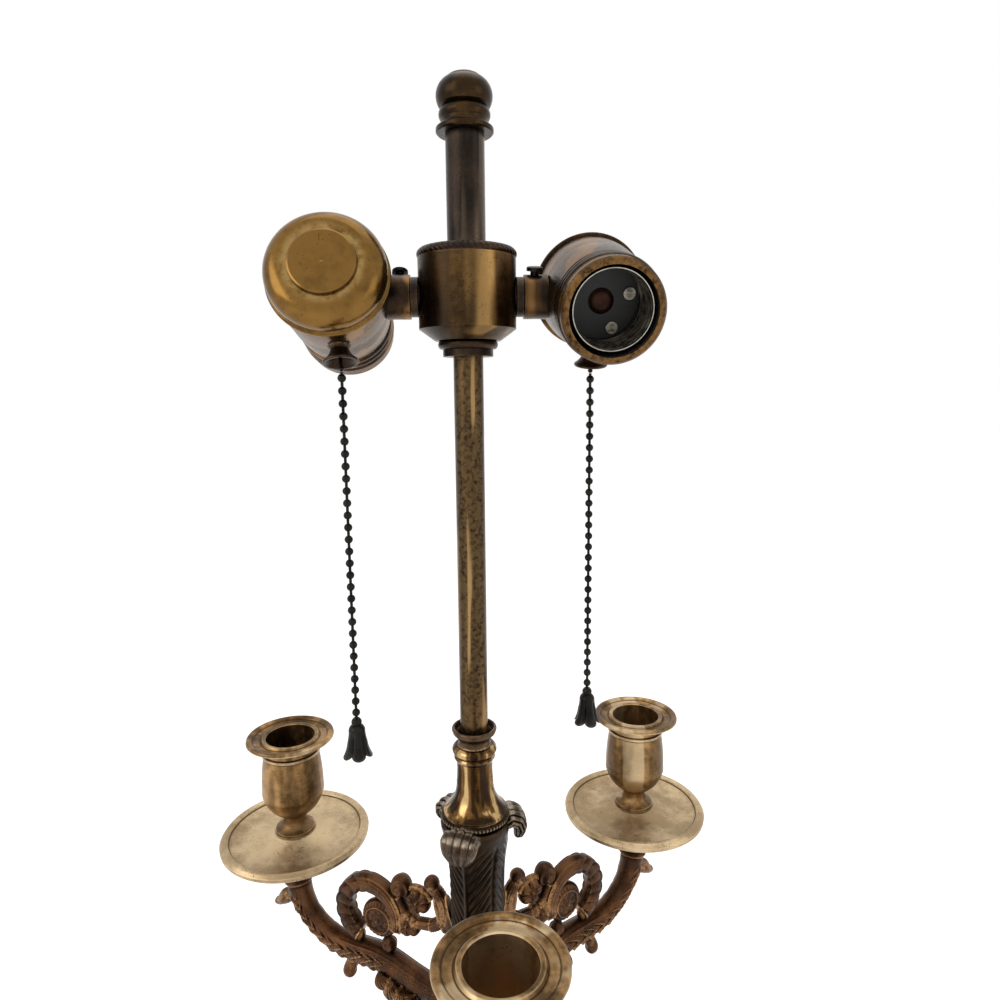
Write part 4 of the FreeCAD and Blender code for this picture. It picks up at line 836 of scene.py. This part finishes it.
        def knob(q: np.ndarray, turn: np.ndarray) -> np.ndarray:
            """A rolled ball: a groove that winds in to a small boss on each side."""
            coil = np.cos(TAU * q * 1.5 - turn) * smooth_step(q, 0.1, 0.3) * smooth_step(q, 1.0, 0.8)
            return 4.4 * np.sqrt(np.clip(1 - q * q, 0, 1)) + 0.55 * coil + 0.7 * ridge(q, 0, 0.16)

        def blossom(q: np.ndarray, turn: np.ndarray) -> np.ndarray:
            """Five petals, each with a crease down its middle, round a boss."""
            petal = np.abs(np.cos(2.5 * turn))
            crease = ridge(np.abs(np.sin(2.5 * turn)), 0, 0.16)
            return ((1.8 + 1.5 * petal ** 0.5 * smooth_step(q, 0.2, 0.5) - 0.5 * crease * smooth_step(q, 0.3, 0.6)
                     + 1.9 * ridge(q, 0, 0.2) + 0.25 * np.cos(turn * 20) * ridge(q, 0.55, 0.2))
                    * np.sqrt(np.clip(1.02 - q ** 6, 0.02, 1)))

        def lobed(q: np.ndarray, turn: np.ndarray) -> np.ndarray:
            """Notched outline of the petals."""
            return -1.2 * (1 - np.abs(np.cos(2.5 * turn)) ** 0.6) * q

        def bark(far: np.ndarray, turn: np.ndarray) -> np.ndarray:
            """Fine grain all round."""
            return 0.34 * pebbles(far, turn * 2.4, 1.1) - 0.2 + 0.2 * ridge(np.abs(np.sin(turn)), 0.0, 0.2)

        hx, hz = self.hook
        flower = (hx + 8.0, hz - 12.0)
        rosette = (hx + 2.6, hz + 1.0)
        lip = (hx - 4.2, hz + self.hook_radius + 0.6)
        return [
            rope(arc((cx, cz), self.whorl_radius, -66, 200), taper, 72, 0.36, band, 1.06),
            medallion((cx - 5, cz - 2), 9.2, eye),
            medallion((cx - self.whorl_radius - 2.6, cz + self.whorl_radius + 3.4), 5.0, knob),
            rope(arc((cx - 9, cz + 3), 7.6, 60, 215), 1.7, 32, 0.4),
            rope(np.array([(cx - 15, cz + 12), (flower[0] - 0.4, flower[1] + 3)]), 1.8, 28, 0.4, None, 1.5),
            rope(np.array([(cx - 12.6, cz + 11), (flower[0] + 3.4, flower[1] + 2)]), 1.5, 28, 0.4, None, 1.9),
            medallion(flower, 6.3, blossom, lobed),
            medallion(rosette, 6.2, blossom, lobed),
            rope(arc(self.hook, self.hook_radius, 110, 250), self.hook_band, 56, 0.36, bark, 1.1),
            medallion(lip, 3.5, lambda q, turn: 3.6 * np.sqrt(np.clip(1 - q * q, 0, 1)) - 0.8 * ridge(q, 0, 0.25)),
            rope(np.array([(hx - 4, hz - 9.4), (flower[0] - 2, flower[1] + 1)]), 2.5, 40, 0.36, bark, 1.1),
            rope(arc((hx + 3, hz - 1), 7.6, 60, 150, 20), 1.6, 28, 0.4),
        ]

    def buds(self) -> list[Skin]:
        """Leaf tips and buds round the branch, and the acanthus lobes that hang under it."""
        across = np.array([0, 1.0, 0])
        low, top = self.level - self.waist, self.level + self.waist
        drop = self.reach - self.bend
        parts = [
            bud((self.reach + 4, 26), (self.reach + 14.4, 15.6), 3.4, 6, 0.5, 0.35),
            bud((self.reach + 9, 21), (self.reach + 15.6, 16.2), 2.0),
            bud((drop, low + 3), (drop, low - 11.6), 3.3, 0, 0, 0.72),
            bud((drop - 3.4, low + 2), (drop - 1.2, low - 7.5), 2.3, 5, 0.4, 0.5),
            bud((45.5, top - 5.4), (44.4, top + 5.6), 3.6, 6, 0.35, 0.62),
            bud((62, top - 5), (59.6, top + 5.2), 2.3, 0, 0, 0.6),
        ]

        def lobe(t: np.ndarray) -> np.ndarray:
            """Half width of a lobe: widest past its middle, with a blunt tip."""
            return 5.6 * np.sin(math.pi * np.clip(t, 0.01, 0.99) ** 1.3) ** 0.65

        for hand in (-1, 1):
            face = np.array([0.0, hand, 0.0])
            for x, z, lean, far in ((48.5, 4.0, -0.45, 12.0), (42.5, 2.4, -0.15, 15.0), (36, 0.6, 0.15, 15.5),
                                    (29.5, -1.2, 0.45, 12.5)):
                t = np.linspace(0, 1, 12)[:, None]
                start = np.array([x, hand * 4.2, z])
                way = np.array([math.sin(lean), 0, -math.cos(lean)])
                spine = start + way * far * t - face * (3.4 * t ** 2.2 - 1.6 * np.sin(math.pi * t))
                side = np.array([math.cos(lean), 0, math.sin(lean)])
                parts.append(leaf(spine, side, face, lobe, 1.7, 7, 1.0, 0.6))
        spine = np.array([(self.reach - 3, 0, 22), (self.reach + 4, 0, 25), (self.reach + 9, 0, 22.5),
                          (self.reach + 13.4, 0, 17.4)])
        parts.append(leaf(spine, across, np.array([0.4, 0, 0.9]), lambda t: 4.4 * np.sqrt(np.clip(1.01 - t, 0, 1)),
                          1.3, 3, 1.2, 0.3))
        return parts

    def lug(self) -> Skin:
        """The plate that meets the sleeve, and the tenon, as flattened bars."""
        plate = rope(np.array([(11.9, self.hook[1] - 1), (18.6, self.hook[1] - 3)]), 9.0, 48, 0.5, None, 0.28)
        tenon = rope(np.array([(self.root - 8, 0), (self.root + 2, 0)]), 4.0, 40, 0.6)
        return Skin.joined([plate, tenon])

    def build(self) -> None:
        """Builds the carving once and sets it at each azimuth, then the pans and cups."""
        carving = Skin.joined([self.branch(), *self.whorls(), *self.buds(), self.lug()])
        for side, azimuth in self.azimuths:
            seat = Seat.upright(0, 0, self.axis_height, azimuth)
            piece(f"scroll_arm_{side}", seat.put(carving), Finish.ARM, "lamp", (f"arm_{side}",), 50)
            self.pan_and_cup(side, azimuth)

    def pan_and_cup(self, side: str, azimuth: float) -> None:
        """The turned drip pan and candle cup of one arm.

        Args:
            side: The arm's name.
            azimuth: Its direction in degrees from X.
        """
        turn = math.radians(azimuth)
        x, y = self.reach * math.cos(turn), self.reach * math.sin(turn)
        low = self.axis_height + self.rise
        pan = bent([
            (2.6, 0), (9.3, 0, -0.6), (27.5, 1.4), (33.0, 1.1, 0.5), (34.0, 2.8, 0.3), (33.8, 3.8, 0.7),
            (31.1, 5.0, 0.3), (30.1, 3.8), (29.0, 3.2, -0.4), (18.0, 2.6, -0.5), (10.0, 5.5), (2.6, 5.5),
        ], 0.4)
        piece(f"drip_pan_{side}_turned", Seat.upright(x, y, low).put(lathe(pan, 160)), Finish.PAN, "lamp",
              (f"drip_pan_{side}",))
        cup = bent([
            (0, 10), (2.6, 10), (2.6, 0), (9.0, 0), (9.0, 1.2, -1.6), (5.5, 8.0, 1.2), (13.6, 17.5, 0.3),
            (14.0, 21.5, 0.4), (12.5, 38.5), (13.2, 38.9), (13.2, 39.9), (12.5, 40.3), (12.5, 42.9, -0.5),
            (18.5, 45.3), (19.8, 45.9, 0.8), (18.0, 47.4, 0.2), (16.8, 46.3, -0.3), (13.5, 45.9), (12.7, 46.9, 0.2),
            (11.1, 46.6), (11.1, 16.5), (0, 16.5),
        ], 0.35)
        piece(f"candle_cup_{side}_turned", Seat.upright(x, y, low + 5.5).put(lathe(cup, 144)), Finish.CUP, "lamp",
              (f"candle_cup_{side}",))


@dataclass
class Column:
    """Leaf sleeve, bell neck, stem, cluster, riser and finial on the lamp's axis."""

    sleeve_low: float = 276.0
    sleeve_height: float = 79.6
    leaf_azimuths: tuple[float, ...] = (-110.0, 10.0, 130.0)
    cap_low: float = 569.5

    def sleeve(self) -> None:
        """The leaf sleeve: a turned body with feathered leaves rising on it, and a beaded ring."""
        tall = self.sleeve_height
        profile = bent([
            (5.1, 0), (11.6, 0), (10.9, 24, -0.1), (11.1, 48, -0.3), (12.4, 62, -0.2), (14.4, 73.4), (14.6, 75, 0.3),
            (13.2, 76.4), (13.2, 77, 0.8), (13.2, 79.2), (12.7, tall), (5.1, tall),
        ], 0.35)

        def feathers(height: np.ndarray, turn: np.ndarray) -> np.ndarray:
            """Midribs under the tips, slanting veins on both sides of each, a groove between leaves, and beads."""
            away = np.min([np.abs((turn - math.radians(a) + math.pi) % TAU - math.pi) for a in self.leaf_azimuths],
                          axis=0)
            on = smooth_step(height, 71, 64) * smooth_step(height, -1, 2)
            midrib = 0.9 * ridge(away, 0, 0.09) * on
            veins = 0.65 * (np.abs(np.sin(math.pi * (height - 15 * away) / 4.2)) ** 0.7 - 0.6) * on
            veins *= smooth_step(away, 0.06, 0.16) * smooth_step(away, 1.02, 0.9)
            groove = -0.8 * ridge(away, math.pi / 3, 0.06) * on
            beads = 0.35 * np.abs(np.cos(turn * 29)) * smooth_step(height, 76.8, 77.3) * smooth_step(height, 79.5, 79)
            outside = (height > 0.5) & (height < tall - 0.3)
            return np.where(outside, midrib + veins + groove + beads, 0)

        piece("leaf_sleeve_carved", Seat.upright(0, 0, self.sleeve_low).put(lathe(profile, 360, feathers)),
              Finish.PATINA, "lamp", ("leaf_sleeve",), 55)

    def leaf_tips(self) -> None:
        """The rolled tips of the three leaves: broad shells with soft ridges that fan out from the top."""
        def size(t: np.ndarray) -> np.ndarray:
            """Half the thickness from the root to the blunt tip."""
            return (1.9 + 1.3 * np.sin(math.pi * np.clip(t, 0, 1) ** 0.9)) * np.sqrt(np.clip(1.01 - t ** 7, 0, 1))

        def fan(far: np.ndarray, turn: np.ndarray) -> np.ndarray:
            """Round ridges with narrow grooves between them."""
            return 0.75 * (np.abs(np.cos(turn * 6)) ** 0.7 - 0.75) * smooth_step(far, 1, 4) * smooth_step(far, 20, 15)

        tips = []
        for azimuth in self.leaf_azimuths:
            stations = np.array([(10.5, 70.0), (12.0, 74.0), (14.8, 76.0), (17.4, 75.0), (18.6, 71.8), (18.2, 68.0),
                                 (16.6, 65.4)])
            way = np.linspace(0, 1, len(stations))
            path = np.stack([np.interp(np.linspace(0, 1, 60), way, axis) for axis in stations.T], axis=1)
            roll = rope(path, size, 180, 0.3, fan, 2.4)
            tips.append(Seat.upright(0, 0, 0, azimuth).put(roll))
        piece("leaf_sleeve_tips", Seat.upright(0, 0, self.sleeve_low).put(Skin.joined(tips)), Finish.LEAF_TIP,
              "lamp", ("leaf_sleeve",), 60)

    def bell(self) -> None:
        """The bell neck with its two beads."""
        low = self.sleeve_low + self.sleeve_height
        bell = bent([
            (5.1, 0), (13.1, 0), (13.1, 1, -1.6), (7.6, 13.2, -0.2), (7.4, 22.4), (7.9, 23.2, 0.5), (7.9, 25.0),
            (7.7, 25.3), (8.2, 25.6, 0.9), (8.2, 29.0), (7.6, 29.4), (5.1, 29.4),
        ], 0.3)
        piece("bell_neck_turned", Seat.upright(0, 0, low).put(lathe(bell, 128)), Finish.BELL, "lamp",
              ("bell_neck",))

    def cap(self) -> None:
        """The cluster's cap with its rope-cut rim."""
        inner = 16.6
        profile = bent([
            (5.1, 0), (10, 0), (10, 3), (inner, 3), (inner, 6), (18.0, 6, 0.45), (18.0, 8.4), (17.3, 9), (7.15, 9),
            (7.15, 4), (5.1, 4),
        ], 0.3)

        def ropes(height: np.ndarray, turn: np.ndarray) -> np.ndarray:
            """Slanting cuts round the rim."""
            band = smooth_step(height, 6.0, 6.5) * smooth_step(height, 9.0, 8.4)
            return 0.28 * band * (np.abs(np.cos(turn * 26 + height * 1.2)) - 0.9)
        skin = lathe(profile, 420, lambda h, a: np.where(h > 5.9, ropes(h, a), 0.0))
        piece("cluster_cap_rope", Seat.upright(0, 0, self.cap_low).put(skin), Finish.NECK, "lamp",
              ("cluster_cap",))

    def build(self) -> None:
        """Builds the carved and flared pieces and dresses the plain ones."""
        self.sleeve()
        self.leaf_tips()
        self.bell()
        self.cap()
        for node, finish in (("stem_cup", Finish.COLLAR), ("stem_tube", Finish.STEM),
                             ("cluster_ring", Finish.NECK), ("cluster_body", Finish.CLUSTER),
                             ("riser_tube", Finish.RISER), ("finial", Finish.CLUSTER),
                             ("side_nipples", Finish.NECK), ("ring_nuts", Finish.NECK)):
            dress(node, finish)


@dataclass
class Lampholder:
    """One pull-chain lampholder. In its frame Z goes out of the mouth, X to the cluster and Y down its chain guide."""

    side: str
    mirror: int
    tilt: float
    switch_turn: float
    link_end: float = 28.7
    chain_drop: float = 132.29
    offset: float = 48.2
    yaw: float = 3.4
    axis_height: float = 561.7

    @property
    def seat(self) -> Seat:
        """The lampholder's frame on the lamp."""
        yaw, lean = math.radians(self.yaw), math.radians(self.tilt)
        neck = np.array([math.cos(yaw), math.sin(yaw), 0]) * self.mirror
        level = np.array([-math.sin(yaw), math.cos(yaw), 0]) * self.mirror
        mouth = level * math.cos(lean) - np.array([0, 0, 1]) * math.sin(lean)
        origin = np.array([0, 0, self.axis_height]) - neck * self.offset
        return Seat(origin, np.array([neck, np.cross(mouth, neck), mouth]))

    def socket_thread(self) -> None:
        """The screw shell: its wall follows the cosine of height over pitch less the angle, as a rolled thread."""
        pitch, low, high = 3.63, 11.5, 31.5
        up = np.arange(low, high, 0.3)
        profile = np.concatenate([
            np.stack([np.full(len(up), 13.27), up[::-1]], axis=1),
            np.stack([np.full(len(up), 13.57), up], axis=1),
        ])

        def rolled(height: np.ndarray, turn: np.ndarray) -> np.ndarray:
            """Thread relief."""
            return 0.23 + 0.23 * np.cos(TAU * height / pitch - turn)
        piece(f"{self.side}_thread", self.seat.put(lathe(profile, 120, rolled)), Finish.THREAD,
              f"{self.side}_socket", (f"{self.side}_screw_shell",))

    def pull(self) -> None:
        """The bellflower at the end of the chain: a turned bell whose edge rises between five pointed lobes.

        The radius follows the profile, less a crease between the lobes, and the height of the lower part is raised
        by notch * (1 - |cos(2.5 angle)|^0.8).
        """
        turn = math.radians(self.switch_turn)
        neck, down, mouth = self.seat.axes
        eye = self.seat.origin + (down * math.cos(turn) + neck * math.sin(turn)) * self.link_end - mouth * 3.0
        profile = bent([
            (0, -9.5), (2.8, -11), (5.1, -15.3), (5.7, -15.5, -0.3), (3.9, -9.5, -0.1), (3.2, -5.5, 0.5), (1.8, -2.6),
            (1.9, -2.3, 0.4), (1.2, 0), (0, 0),
        ], 0.3)
        skin = lathe(profile, 100)
        x, y, z = skin.points.T
        petal = np.abs(np.cos(2.5 * np.arctan2(y, x)))
        low = smooth_step(-z, 6.5, 15.5)
        size = 1 - 0.2 * (1 - petal) ** 2 * smooth_step(-z, 3.5, 9)
        points = np.stack([x * size, y * size, z + 1.4 * (1 - petal ** 0.8) * low], axis=1)
        place = Seat.upright(eye[0], eye[1], eye[2] - self.chain_drop)
        piece(f"{self.side}_bellflower", place.put(Skin(points, skin.faces)), Finish.CHAIN, f"{self.side}_chain",
              (f"{self.side}_pull_bell",))

    def build(self) -> None:
        """Dresses the lampholder's nodes and builds its thread and pull."""
        left = self.side == "left"
        finishes = {
            "shell": Finish.SHELL, "cap": Finish.DOME if left else Finish.SHELL, "liner": Plain.FIBRE,
            "insulator": Plain.SWITCH, "centre_contact": Finish.COPPER, "terminal_screws": Finish.THREAD,
            "chain_guide": Finish.NECK, "pull_link": Finish.CHAIN, "switch_lever": Finish.STEEL,
            "lever_spring": Finish.STEEL, "chain": Finish.CHAIN, "thumb_screw": Finish.CHAIN,
        }
        for name, finish in finishes.items():
            dress(f"{self.side}_{name}", finish)
        self.socket_thread()
        self.pull()


# Studio


@dataclass
class Studio:
    """Camera at the photograph's angle, soft lights, pale room and floor.

    Attributes:
        lens: Focal length over a 36 mm wide square picture.
        pitch: Angle that the camera looks down, in degrees.
        yaw: Angle that it looks to the right.
        roll: Its turn about its own axis.
    """

    place: Colour = (12.946, -268.668, 526.988)
    lens: float = 25.26
    pitch: float = 8.782
    yaw: float = -0.328
    roll: float = -0.538

    def camera(self) -> None:
        """Sets the camera from its place and three angles."""
        pitch, yaw, roll = [math.radians(a) for a in (self.pitch, self.yaw, self.roll)]
        ahead = Vector((math.sin(yaw) * math.cos(pitch), math.cos(yaw) * math.cos(pitch), -math.sin(pitch)))
        right = Vector((math.cos(yaw), -math.sin(yaw), 0))
        up = right.cross(ahead)
        turned_right = right * math.cos(roll) + up * math.sin(roll)
        turned_up = up * math.cos(roll) - right * math.sin(roll)
        lens = bpy.data.cameras.new("camera")
        lens.sensor_width = 36
        lens.lens = self.lens
        lens.clip_start = 0.01
        lens.clip_end = 50
        camera = bpy.data.objects.new("camera", lens)
        axes = Matrix((turned_right, turned_up, -ahead)).transposed().to_4x4()
        camera.matrix_world = Matrix.Translation(Vector(self.place) * MM) @ axes
        bpy.context.scene.collection.objects.link(camera)
        bpy.context.scene.camera = camera

    def light(self, name: str, place: Colour, aim: Colour, size: float, power: float, colour: Colour) -> None:
        """A square soft light.

        Args:
            name: Its name.
            place: Where it stands, in metres.
            aim: What it looks at, in metres.
            size: Its side in metres.
            power: Watts.
            colour: Its colour.
        """
        lamp = bpy.data.lights.new(name, "AREA")
        lamp.shape = "SQUARE"
        lamp.size = size
        lamp.energy = power
        lamp.color = colour
        thing = bpy.data.objects.new(name, lamp)
        thing.location = place
        thing.rotation_mode = "QUATERNION"
        thing.rotation_quaternion = (Vector(aim) - Vector(place)).to_track_quat("-Z", "Y")
        bpy.context.scene.collection.objects.link(thing)

    def room(self) -> None:
        """A pale room: what the camera and the metal see is white, and what lights the lamp is softer."""
        world = bpy.data.worlds.new("pale_room")
        world.use_nodes = True
        bpy.context.scene.world = world
        tree = world.node_tree
        tree.nodes.clear()
        path = tree.nodes.new("ShaderNodeLightPath")
        seen = tree.nodes.new("ShaderNodeMath")
        seen.operation = "MAXIMUM"
        tree.links.new(path.outputs["Is Camera Ray"], seen.inputs[0])
        glossy = tree.nodes.new("ShaderNodeMath")
        glossy.operation = "MAXIMUM"
        tree.links.new(path.outputs["Is Glossy Ray"], glossy.inputs[0])
        tree.links.new(path.outputs["Is Transmission Ray"], glossy.inputs[1])
        tree.links.new(glossy.outputs[0], seen.inputs[1])
        soft = tree.nodes.new("ShaderNodeBackground")
        soft.inputs[0].default_value = (1, 1, 1, 1)
        soft.inputs[1].default_value = 0.45
        white = tree.nodes.new("ShaderNodeBackground")
        white.inputs[0].default_value = (1, 1, 1, 1)
        white.inputs[1].default_value = 1.0
        mix = tree.nodes.new("ShaderNodeMixShader")
        out = tree.nodes.new("ShaderNodeOutputWorld")
        tree.links.new(seen.outputs[0], mix.inputs[0])
        tree.links.new(soft.outputs[0], mix.inputs[1])
        tree.links.new(white.outputs[0], mix.inputs[2])
        tree.links.new(mix.outputs[0], out.inputs[0])

    def floor(self) -> None:
        """A pale floor under the lamp that keeps its shadow."""
        mesh = bpy.data.meshes.new("floor")
        mesh.from_pydata([(-8, -8, 0), (8, -8, 0), (8, 8, 0), (-8, 8, 0)], [], [(0, 1, 2, 3)])
        paint = Paint("pale_floor")
        path = paint.node("ShaderNodeLightPath")
        seen = Val(paint, path.outputs["Is Camera Ray"]) + Val(paint, path.outputs["Is Glossy Ray"])
        matt = paint.node("ShaderNodeBsdfDiffuse", None, {0: linear((238, 238, 238))})
        glow = paint.node("ShaderNodeEmission", None, {0: (1, 1, 1, 1), 1: seen * 0.72})
        both = paint.node("ShaderNodeAddShader", None, {0: matt.outputs[0], 1: glow.outputs[0]})
        paint.tree.links.new(both.outputs[0], paint.out.inputs[0])
        mesh.materials.append(paint.material)
        thing = bpy.data.objects.new("floor", mesh)
        bpy.context.scene.collection.objects.link(thing)

    def build(self) -> None:
        """Builds the whole studio."""
        self.camera()
        self.room()
        self.floor()
        self.light("window_left", (-1.3, -0.9, 1.1), (0, 0, 0.5), 1.0, 8, (1.0, 0.97, 0.92))
        self.light("fill_right", (1.5, -0.7, 0.8), (0, 0, 0.5), 0.8, 2.5, (1.0, 0.94, 0.86))
        self.light("soft_top", (0.1, 0.2, 2.0), (0, 0, 0.4), 1.2, 5, (1, 1, 1))
        bpy.context.scene.view_settings.view_transform = "Standard"


def main() -> None:
    """Builds the lamp's looks and its studio."""
    logging.basicConfig(level=logging.INFO, format="%(message)s")
    Base().build()
    ScrollArms().build()
    Column().build()
    Lampholder("left", 1, 18.5, 5.6).build()
    Lampholder("right", -1, 15.6, 0.0).build()
    Studio().build()


if __name__ == "__main__":
    main()
